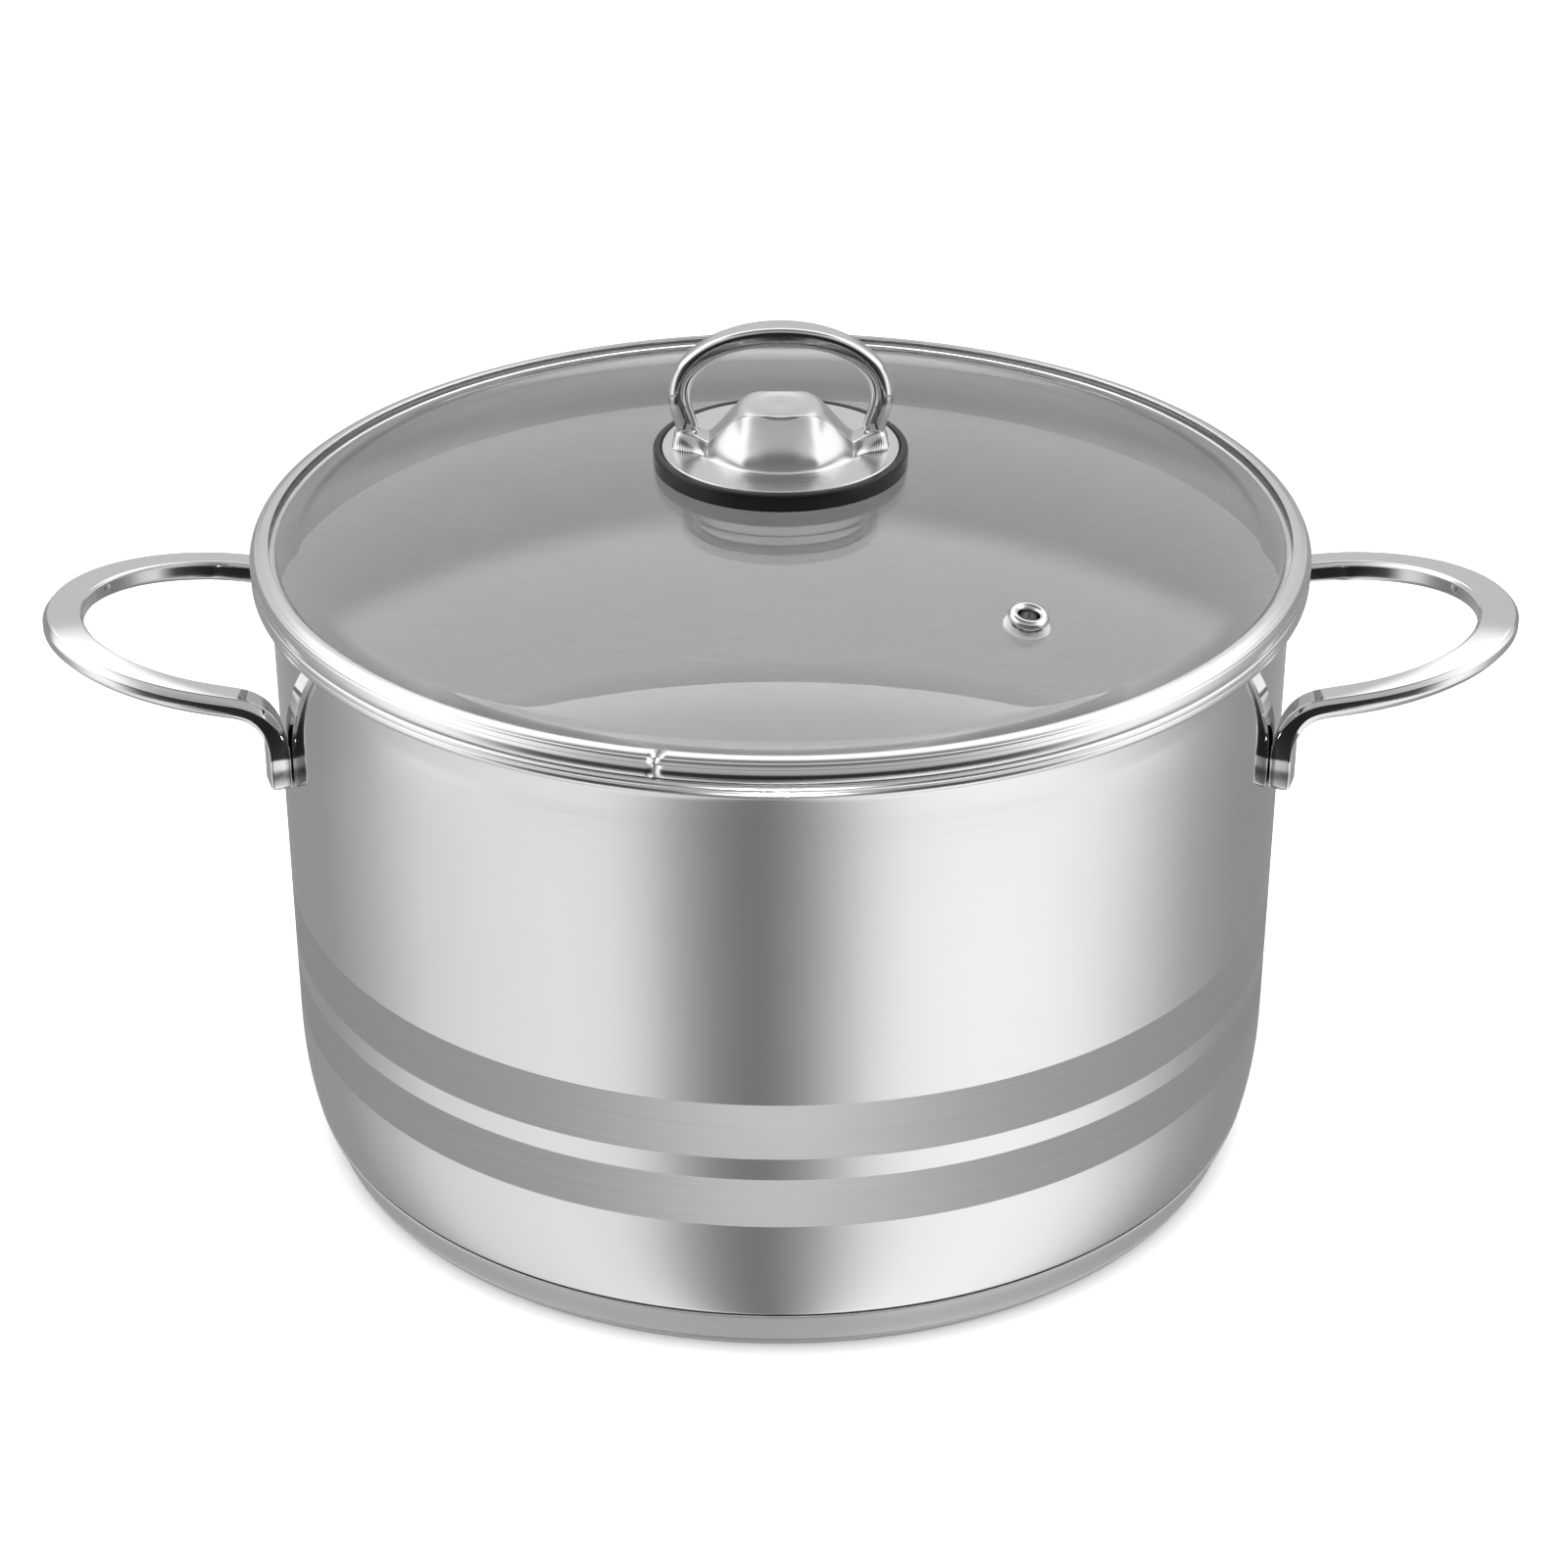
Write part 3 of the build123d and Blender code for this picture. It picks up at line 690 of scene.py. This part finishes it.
glassSize = {
    "sphere": 416.0,
    "top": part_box("lid_glass")[1].z / mm,
    "thickness": 3.45,
    "edge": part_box("lid_glass")[1].x / mm,
    "edgeRounding": 1.0,
    "domeTo": 112.0,
    "runOut": (1.8, -0.53),  # direction in which the dome leaves for the flat edge
    "flatFrom": 117.0,
    "edgeTop": 154.1,
    "hole": 5.0,
}
glassSize["centreTop"] = glassSize["top"] + glassSize["hole"] ** 2 / 2 / glassSize["sphere"]
ventSize = {
    "x": 53.9,
    "y": -68.3,
    "flange": 4.55,
    "bore": 2.3,
    "tube": 3.0,
    "hole": 3.2,
    "crown": (0.75, 1.15),  # where the flange's crown starts above the glass, and its rise
    "flare": 1.7,
}


def domeHeight(radius, size=glassSize):
    # height of the sphere's cap at a distance from the axis
    return size["centreTop"] - size["sphere"] + np.sqrt(size["sphere"] ** 2 - np.asarray(radius) ** 2)


def ventFrame():
    # origin on the glass's top face and three directions, the last one square to the dome
    radius = math.hypot(ventSize["x"], ventSize["y"])
    origin = np.array([ventSize["x"], ventSize["y"], float(domeHeight(radius))])
    up = origin - np.array([0, 0, glassSize["centreTop"] - glassSize["sphere"]])
    up /= np.linalg.norm(up)
    across = np.cross([0, 1, 0], up)
    across /= np.linalg.norm(across)
    return origin, across, np.cross(up, across), up


def turnIntoVent(piece):
    # carries a piece made round the Z axis over to the vent's own axis, in its mesh
    origin, across, along, up = ventFrame()
    count = len(piece.data.vertices)
    flat = np.empty(count * 3)
    piece.data.vertices.foreach_get("co", flat)
    local = flat.reshape(-1, 3)
    moved = origin * mm + local[:, :1] * across + local[:, 1:2] * along + local[:, 2:] * up
    piece.data.vertices.foreach_set("co", moved.ravel())
    piece.data.update()


def lidGlass(size=glassSize):
    # dome of even thickness with a flat ground edge and a centre hole, then the vent hole is cut
    thick, edge, flat, ease = size["thickness"], size["edge"], size["flatFrom"], size["edgeRounding"]
    leave = np.array(size["runOut"])
    radii = np.linspace(size["hole"], size["domeTo"], 60)
    upper = np.stack([radii, domeHeight(radii)], 1)
    lower = upper[::-1] - [0, thick]
    top, low = size["edgeTop"], size["edgeTop"] - thick
    runs = [
        (upper, 0),
        (bend(upper[-1], upper[-1] + leave, (flat - 1.8, top + 0.1), (flat, top), 10), 0),
        (straight((flat, top), (edge - ease, top), 5), 0),
        (arc((edge - ease, top - ease), ease, 90, 0, 6), 0),
        (arc((edge - ease, low + ease), ease, 0, -90, 6), 0),
        (straight((edge - ease, low), (flat, low), 5), 0),
        (bend((flat, low), (flat - 1.8, low + 0.1), lower[0] + leave, lower[0], 10), 0),
        (lower, 0),
    ]
    pane = turned("lidGlass", runs, [paneGlass])
    hole, deep = ventSize["hole"], 9.0
    drillRuns = [
        (straight((0, -deep), (hole, -deep)), 0),
        (straight((hole, deep), (0, deep)), 0),
    ]
    drill = turned("drill", drillRuns, [paneGlass], closed=False, segments=48)
    turnIntoVent(drill)
    cut = pane.modifiers.new("ventHole", "BOOLEAN")
    cut.object = drill
    cut.operation = "DIFFERENCE"
    cut.solver = "EXACT"
    bpy.context.view_layer.objects.active = pane
    with bpy.context.temp_override(object=pane, active_object=pane):
        bpy.ops.object.modifier_apply(modifier=cut.name)
    bpy.data.objects.remove(drill)
    return place(pane, "lid", ["lid_glass"])


bandSize = {
    "radius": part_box("lid_band")[1].x / mm,
    "low": 150.05,
    "top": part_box("lid_band")[1].z / mm,
    "sheet": 0.5,
    "lip": 119.7,
    "crownWidth": 3.9,
    "crownHeight": 3.4,
    "skirt": 118.5,
    "skirtLow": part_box("lid_band")[0].z / mm,
    "seamX": -26.0,
    "seamGap": 0.22,
}


def lidBand(size=bandSize):
    # folded strip: skirt, flat underside, full round outside and a lip on the glass, open at the seam
    r, low, top, sheet = size["radius"], size["low"], size["top"], size["sheet"]
    lip, skirt, crown, drop = size["lip"], size["skirt"], size["crownWidth"], size["crownHeight"]
    glassTop = glassSize["edgeTop"] + clearance
    glassLow = glassSize["edgeTop"] - glassSize["thickness"] - clearance
    inside = r - sheet
    hemTop = size["skirtLow"] + sheet / 2
    runs = [
        (arc((skirt - sheet / 2, hemTop), sheet / 2, -180, 0, 9), 0),
        (straight((skirt, hemTop), (skirt, low - 0.3), 6), 0),
        (bend((skirt, low - 0.3), (skirt, low - 0.05), (skirt + 0.1, low), (skirt + 0.4, low), 5), 0),
        (straight((skirt + 0.4, low), (r - 0.8, low), 8), 0),
        (arc((r - 0.8, low + 0.8), 0.8, -90, 0, 8), 0),
        (straight((r, low + 0.8), (r, top - drop), 4), 0),
        (arc((0, 0), 1, 0, 90, 26) * [crown, drop] + [r - crown, top - drop], 0),
        (arc((lip + 0.3, glassTop + 0.3), 0.3, 100, 270, 9), 0),
        (straight((lip + 0.25, glassTop), (inside - 1.6, glassTop), 5), 0),
        (arc((inside - 1.6, glassTop - 1.6), 1.6, 90, 0, 8), 0),
        (straight((inside, glassTop - 1.6), (inside, glassLow), 4), 0),
        (straight((inside, glassLow), (skirt - sheet, glassLow), 6), 0),
        (straight((skirt - sheet, glassLow), (skirt - sheet, hemTop), 6), 0),
    ]
    seamAngle = math.degrees(math.atan2(-math.sqrt(r ** 2 - size["seamX"] ** 2), size["seamX"]))
    half = math.degrees(size["seamGap"] / 2 / r)
    start, end = seamAngle + half, seamAngle + 360 - half
    band = turned("lidBand", runs, [softSteel], fromAngle=start, toAngle=end, segments=turns + 1)
    return place(band, "lid", ["lid_band"])


def ventEyelet(size=ventSize):
    # rolled rivet: round flange over the glass, tube through it, flare under the washer
    bore, flange, tube = size["bore"], size["flange"], size["tube"]
    low = -glassSize["thickness"] - size["flare"]
    crownLow, crownRise = size["crown"]
    middle = (bore + flange) / 2
    half = (flange - bore) / 2
    tubeEnd = (tube, low + 0.85)
    flareEdge = (flange - 0.3, low + 0.3)
    runs = [
        (straight((bore, low), (bore, crownLow), 8), 0),
        (arc((0, 0), 1, 180, 0, 17) * [half, crownRise] + [middle, crownLow], 0),
        (arc((flange - 0.4, clearance + 0.4), 0.4, 0, -90, 5), 0),
        (straight((flange - 0.4, clearance), (tube, clearance), 3), 0),
        (straight((tube, clearance), tubeEnd, 4), 0),
        (bend(tubeEnd, (flange - 0.6, low + 0.8), (flange - 0.1, low + 0.6), flareEdge, 8), 0),
        (bend(flareEdge, (flange - 0.6, low), (bore + 0.5, low - 0.05), (bore, low), 8), 0),
    ]
    eyelet = turned("ventEyelet", runs, [fittingSteel], segments=72)
    turnIntoVent(eyelet)
    return place(eyelet, "lid", ["vent_eyelet"])


lidGlass()
lidBand()
ventEyelet()


# ---- knob

knobSize = {
    "ring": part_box("knob_ring")[1].x / mm,
    "ringInner": 21.0,
    "ringRounding": 0.6,
    "ringFoot": 0.3,
    "ringLift": 0.08,
    "seat": 28.0,
    "plate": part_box("knob_hub")[1].x / mm,
    "plateTop": 173.4,
    "plateSheet": 0.9,
    "bellTop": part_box("knob_hub")[1].z / mm,
    "socketX": 21.6,
    "socketTop": 177.2,
    # cone as (radius, height), the arms' crest as (x, height), half width as (x, y) and the skirt
    # beyond it as (x, reach) and (x, steepness)
    "cone": (
        (0.0, 183.5), (5.0, 183.51), (8.8, 183.5), (9.6, 183.1), (10.6, 182.2), (12.2, 180.5),
        (14.0, 178.4), (15.6, 176.7), (17.2, 175.2), (19.0, 174.1), (21.0, 173.5), (23.0, 173.4),
        (40.0, 173.4),
    ),
    "crest": (
        (0.0, 173.4), (13.0, 173.4), (15.0, 174.2), (16.6, 175.3), (18.2, 176.1), (20.0, 176.9),
        (21.6, 177.3), (24.0, 177.2), (24.9, 175.8), (25.3, 173.4), (27.8, 173.4),
    ),
    "halfWidth": (
        (0.0, 8.3), (3.0, 8.15), (6.0, 7.6), (8.4, 6.6), (10.0, 5.2), (12.0, 4.1), (14.8, 3.4),
        (17.0, 3.1), (19.0, 3.0), (21.6, 2.8), (24.0, 2.0), (26.0, 0.5), (27.8, 0.0),
    ),
    "skirt": (
        (0.0, 10.7), (4.0, 10.6), (8.4, 10.7), (10.0, 11.3), (12.0, 11.0), (14.8, 9.0), (17.0, 5.6),
        (18.5, 3.2), (20.0, 1.8), (21.6, 1.2), (27.8, 1.2),
    ),
    "steepness": (
        (0.0, 2.1), (12.0, 2.1), (15.0, 1.9), (17.5, 1.3), (20.0, 0.7), (21.6, 0.6), (27.8, 0.6),
    ),
    "squash": 0.78,  # how much the distance along Y counts towards the cone's radius
    "edge": 0.15,  # softness of the line between top and skirt
}


def knobRing(size=knobSize):
    # moulded ring: upright side, flat top with a small rounding, a seat for the plate and a sloping
    # underside that ends a little above the glass
    r, seat, inner = size["ring"], size["seat"], size["ringInner"]
    rounding, ease = size["ringRounding"], size["ringFoot"]
    top = size["plateTop"] - clearance
    shelf = top - size["plateSheet"]
    foot = float(domeHeight(r)) + size["ringLift"]
    innerFoot = float(domeHeight(inner)) + size["ringLift"]
    runs = [
        (straight((inner, innerFoot), (r - ease, foot), 6), 0),
        (arc((r - ease, foot + ease), ease, -90, 0, 6), 0),
        (straight((r, foot + ease), (r, top - rounding), 4), 0),
        (arc((r - rounding, top - rounding), rounding, 0, 90, 10), 0),
        (straight((r - rounding, top), (seat, top), 4), 0),
        (straight((seat, top), (seat, shelf), 3), 0),
        (straight((seat, shelf), (inner, shelf), 4), 0),
    ]
    ring = turned("knobRing", runs, [ringPlastic], segments=256)
    return place(ring, "lid", ["knob_ring"])


def hubHeight(x, y, size=knobSize):
    # top: the higher of a cone about Z and the arms' crest along X, out to a half width along Y;
    # beyond it the height above the plate falls as (1 - distance / reach) ** steepness
    plate = size["plateTop"]
    across = np.abs(x)

    def along(values, distance):
        curve = smoothThrough([(*point, 0) for point in values], 400)
        return np.interp(distance, curve[:, 0], curve[:, 1])

    half = along(size["halfWidth"], across)
    radius = np.hypot(x, size["squash"] * np.minimum(np.abs(y), half))
    top = np.maximum(along(size["cone"], radius), along(size["crest"], across))
    past = np.abs(y) - half
    past = (past + np.sqrt(past ** 2 + size["edge"] ** 2)) / 2
    share = np.clip(past / along(size["skirt"], across), 0, 1)
    return plate + (top - plate) * (1 - share) ** along(size["steepness"], across)


def knobHub(size=knobSize):
    # one pressed sheet: height over a polar grid, turned under at the edge, with a hollow below
    columns = 432
    coarse, fine, plain = np.linspace(0, 9, 16)[1:], np.linspace(9.12, 26, 130), np.linspace(26.2, 27.35, 5)
    radii = np.concatenate([coarse, fine, plain])
    angle = np.linspace(0, 2 * math.pi, columns, endpoint=False)
    r, a = np.meshgrid(radii, angle, indexing="ij")
    x, y = r * np.cos(a), r * np.sin(a)
    upper = np.stack([x, y, hubHeight(x, y, size)], -1)
    edge = size["plate"]
    rim = arc((edge - 0.4, size["plateTop"] - 0.4), 0.4, 75, -75, 8)
    rim[:, 1] -= np.linspace(0, 0.1, 8)
    underRadii = np.array([26.5, 22.0, 18.0, 16.0, 14.0, 12.6, 11.4, 10.4, 9.6, 8.9, 8.3, 4.0])
    flank = hubHeight(np.zeros_like(underRadii), underRadii + 1.5, size) - size["plateSheet"]
    low = size["plateTop"] - size["plateSheet"]
    under = np.stack([underRadii, np.maximum(low, flank)], 1)
    line = np.concatenate([rim, under])
    lower = np.stack(
        [
            line[:, :1] * np.cos(angle),
            line[:, :1] * np.sin(angle),
            np.repeat(line[:, 1:], columns, 1),
        ],
        -1,
    )
    grid = np.concatenate([upper, lower])
    rows = len(grid)
    points = grid.reshape(-1, 3)
    crown, pit = len(points), len(points) + 1
    crownTop = float(hubHeight(np.zeros(1), np.zeros(1), size)[0])
    pitTop = size["bellTop"] - size["plateSheet"]
    points = np.concatenate([points, [[0, 0, crownTop], [0, 0, pitTop]]])
    faces = gridQuads(rows, columns, False, True).tolist()
    ring = np.arange(columns)
    after = (ring + 1) % columns
    faces += np.stack([np.full(columns, crown), after, ring], 1).tolist()
    last = (rows - 1) * columns
    faces += np.stack([np.full(columns, pit), last + ring, last + after], 1).tolist()
    hub = putMesh("knobHub", points, faces, None, [hubSteel])
    return place(hub, "lid", ["knob_hub"])


bailSize = {
    "diameter": 5.2,
    "halfWidth": 23.4,
    "waist": 186.5,
    "top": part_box("knob_bail")[1].z / mm - 0.7,
    "flat": (7.0, 4.3),
    "lean": 0.16,
    "footDepth": 2.0,
    "neck": 0.12,  # depth of the joint line above the socket, as a share of the thickness
    "neckHeight": 177.5,
    "neckWidth": 0.35,
    "boxiness": 6.0,  # how much squarer than an ellipse the section is on top
}


def knobBail(size=bailSize):
    # round bar: straight feet, splayed legs and half an ellipse, pressed flat towards the top.
    # section: |u / half width| ** power + |v / half thickness| ** power = 1, power 2 where it is round
    rod = np.array([size["diameter"], size["diameter"]])
    flat = np.array(size["flat"])
    up = np.array([size["lean"], 0, 1]) / math.hypot(size["lean"], 1)
    foot = np.array([knobSize["socketX"], 0, knobSize["socketTop"]]) - size["footDepth"] * up
    rows = [[*(foot + up * step), *rod] for step in (0, 1.5, 3)]
    rows.append([size["halfWidth"] - 0.35, 0, size["waist"] - 4, *rod])
    rise = size["top"] - flat[1] / 2 - size["waist"]
    for step in (0, 18, 36, 54, 72, 90):
        angle = math.radians(step)
        x = size["halfWidth"] * math.cos(angle)
        section = rod + (flat - rod) * math.sin(angle) ** 3
        rows.append([x, 0, size["waist"] + rise * math.sin(angle), *section])
    half = np.array(rows)
    path = smoothThrough(np.concatenate([half, half[-2::-1] * np.array([-1, 1, 1, 1, 1])]), 480)
    flatness = np.clip((path[:, 3] - rod[0]) / (flat[0] - rod[0]), 0, 1)[:, None]
    fromNeck = (path[:, 2] - size["neckHeight"]) / size["neckWidth"]
    path[:, 3:5] *= (1 - size["neck"] * np.exp(-(fromNeck ** 2)))[:, None]
    t = np.linspace(0, 2 * math.pi, 40, endpoint=False)
    power = 2 + size["boxiness"] * flatness
    ring = (np.abs(np.cos(t)) ** power + np.abs(np.sin(t)) ** power) ** (-1 / power)
    u = path[:, 3:4] / 2 * ring * np.cos(t)
    v = path[:, 4:5] / 2 * ring * np.sin(t)
    sides = np.tile([0.0, 1.0, 0.0], (len(path), 1))
    bail = carried("knobBail", path[:, :3], sides, (u, v), [fittingSteel])
    return place(bail, "lid", ["knob_bail"])


knobRing()
knobHub()
knobBail()


# ---- CAD pieces that keep their own mesh get a finish

finishes = {
    "base_core": plateAluminium,
    "vent_washer": washerSteel,
    "knob_boss": washerSteel,
    "knob_bush": milkSilicone,
    "knob_gasket": milkSilicone,
    "knob_washer": washerSteel,
    "knob_screw": washerSteel,
}
for node, material in finishes.items():
    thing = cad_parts[node]
    thing.data.materials.clear()
    thing.data.materials.append(material)
print("finishes given to", len(finishes), "CAD pieces")


# ---- floor, light and camera

floorSize = {"half": 6.0, "drop": 0.0002, "tone": 0.9, "toneSpread": 0.02}


def makeFloor(size=floorSize):
    # one pale square, a hair below the object
    h, z = size["half"], -size["drop"]
    mesh = bpy.data.meshes.new("floor")
    corners = [(-h, -h, z), (h, -h, z), (h, h, z), (-h, h, z)]
    mesh.from_pydata(corners, [], [(0, 1, 2, 3)])
    floor = bpy.data.objects.new("floor", mesh)
    bpy.context.scene.collection.objects.link(floor)
    sheet = Sheet("paleFloor")
    cloud = sheet.noise(sheet.objectPoint(), 3.0)
    sheet.tint(cloud, (size["tone"],) * 3, (size["tone"] + size["toneSpread"],) * 3)
    sheet.shader.inputs["Roughness"].default_value = 0.9
    sheet.shader.inputs["Specular IOR Level"].default_value = 0.0
    mesh.materials.append(sheet.material)
    floor.visible_glossy = False


studio = {
    "strength": 1.3,
    # rings of light round the object: heights of the view direction between which a ring holds,
    # and its level by bearing in degrees, 0 at the front and positive to the right
    "rings": (
        (-1.0, -0.472, (
            (-180, 0.24), (-127, 0.28), (-105, 0.46), (-88, 0.68), (-60, 0.80), (-46, 0.80), (-34, 0.75),
            (-22, 0.36), (-10, 0.18), (0, 0.19), (12, 0.47), (24, 0.84), (36, 0.94), (50, 0.96), (62, 0.94),
            (76, 0.84), (90, 0.62), (107, 0.36), (130, 0.26), (180, 0.24),
        )),
        (-0.458, 0.13, (
            (-180, 0.34), (-150, 0.30), (-128, 0.26), (-104, 0.40), (-88, 0.90), (-70, 1.1), (-60, 0.40),
            (-50, 0.03), (0, 0.01), (50, 0.03), (60, 0.40), (70, 1.1), (88, 0.90), (104, 0.40), (128, 0.26),
            (150, 0.30), (180, 0.34),
        )),
        (0.24, 0.50, (
            (-180, 0.54), (-140, 0.52), (-126, 0.6), (-112, 1.1), (-60, 1.2), (-44, 0.45), (-20, 0.34),
            (20, 0.34), (44, 0.45), (60, 1.2), (112, 1.1), (126, 0.6), (140, 0.52), (180, 0.54),
        )),
        (0.57, 0.80, (
            (-180, 1.25), (-130, 1.15), (-100, 1.1), (-70, 1.1), (-50, 0.5), (0, 0.38), (50, 0.5),
            (70, 1.1), (100, 1.1), (130, 1.15), (180, 1.25),
        )),
        (0.92, 1.0, ((-180, 0.20), (0, 0.12), (180, 0.20))),
    ),
}


def ramp(nodes, stops):
    # bearings in degrees become places from 0 to 1; levels are halved to stay in a ramp's range
    node = nodes.new("ShaderNodeValToRGB")
    node.color_ramp.interpolation = "B_SPLINE"
    elements = node.color_ramp.elements
    while len(elements) > 1:
        elements.remove(elements[0])
    elements[0].position = 0.0
    for index, (bearing, level) in enumerate(stops):
        element = elements[0] if index == 0 else elements.new((bearing + 180) / 360)
        element.color = (level / 2, level / 2, level / 2, 1)
    return node


def makeStudio(look=studio):
    # world colour: each ring's ramp by bearing, one ring passing smoothly into the next by height
    world = bpy.data.worlds.new("studio")
    bpy.context.scene.world = world
    world.use_nodes = True
    nodes, links = world.node_tree.nodes, world.node_tree.links
    background = nodes["Background"]
    split = nodes.new("ShaderNodeSeparateXYZ")
    links.new(nodes.new("ShaderNodeTexCoord").outputs["Generated"], split.inputs[0])

    def calc(operation, *values):
        node = nodes.new("ShaderNodeMath")
        node.operation = operation
        for socket, value in zip(node.inputs, values):
            if isinstance(value, (int, float)):
                socket.default_value = value
            else:
                links.new(value, socket)
        return node.outputs[0]

    bearing = calc("ARCTAN2", split.outputs[0], calc("MULTIPLY", split.outputs[1], -1.0))
    share = calc("MULTIPLY_ADD", bearing, 0.5 / math.pi, 0.5)
    colour = None
    reached = 0.0
    for lowest, highest, stops in look["rings"]:
        ring = ramp(nodes, stops)
        links.new(share, ring.inputs[0])
        if colour is None:
            colour = ring.outputs[0]
        else:
            step = nodes.new("ShaderNodeMapRange")
            step.interpolation_type = "SMOOTHSTEP"
            links.new(split.outputs[2], step.inputs["Value"])
            step.inputs["From Min"].default_value = reached
            step.inputs["From Max"].default_value = lowest
            mix = nodes.new("ShaderNodeMix")
            mix.data_type = "RGBA"
            links.new(step.outputs[0], mix.inputs["Factor"])
            links.new(colour, mix.inputs[6])
            links.new(ring.outputs[0], mix.inputs[7])
            colour = mix.outputs[2]
        reached = highest
    links.new(colour, background.inputs["Color"])
    background.inputs["Strength"].default_value = look["strength"] * 2


def makeLamp(name, position, aim, size, power, only=None):
    # soft panel that faces its aim. Unless it is for one piece alone, it isn't mirrored in the steel
    data = bpy.data.lights.new(name, "AREA")
    data.shape = "RECTANGLE"
    data.size, data.size_y = size
    data.energy = power
    lamp = bpy.data.objects.new(name, data)
    bpy.context.scene.collection.objects.link(lamp)
    lamp.location = position
    direction = np.array(aim, float) - np.array(position, float)
    direction /= np.linalg.norm(direction)
    lamp.rotation_euler = (math.acos(-direction[2]), 0, math.atan2(-direction[0], direction[1]))
    lamp.visible_camera = False
    if only is None:
        lamp.visible_glossy = False
    else:
        group = bpy.data.collections.new(name + "Only")
        group.objects.link(only)
        lamp.light_linking.receiver_collection = group


lamps = {
    "topPanel": {"position": (0, 0, 2.2), "aim": (0, 0, 0), "size": (3.0, 3.0), "power": 110.0},
    "bandPanel": {"position": (0, -1.3, 0.10), "aim": (0, 0, 0.06), "size": (0.15, 0.10), "power": 19.0},
}
cameraSize = {"x": 0.0008, "back": 0.7587, "height": 0.4914, "tilt": 61.742, "lens": 80.68}


def makeCamera(size=cameraSize):
    data = bpy.data.cameras.new("camera")
    data.lens = size["lens"]
    data.sensor_width = 36.0
    data.clip_start, data.clip_end = 0.01, 50.0
    camera = bpy.data.objects.new("camera", data)
    bpy.context.scene.collection.objects.link(camera)
    camera.location = (size["x"], -size["back"], size["height"])
    camera.rotation_euler = (math.radians(size["tilt"]), 0, 0)
    bpy.context.scene.camera = camera


makeFloor()
makeStudio()
makeLamp("topPanel", **lamps["topPanel"])
makeLamp("bandPanel", **lamps["bandPanel"], only=shell)
makeCamera()
bpy.context.scene.view_settings.view_transform = "Standard"
print("stage, light and camera ready")
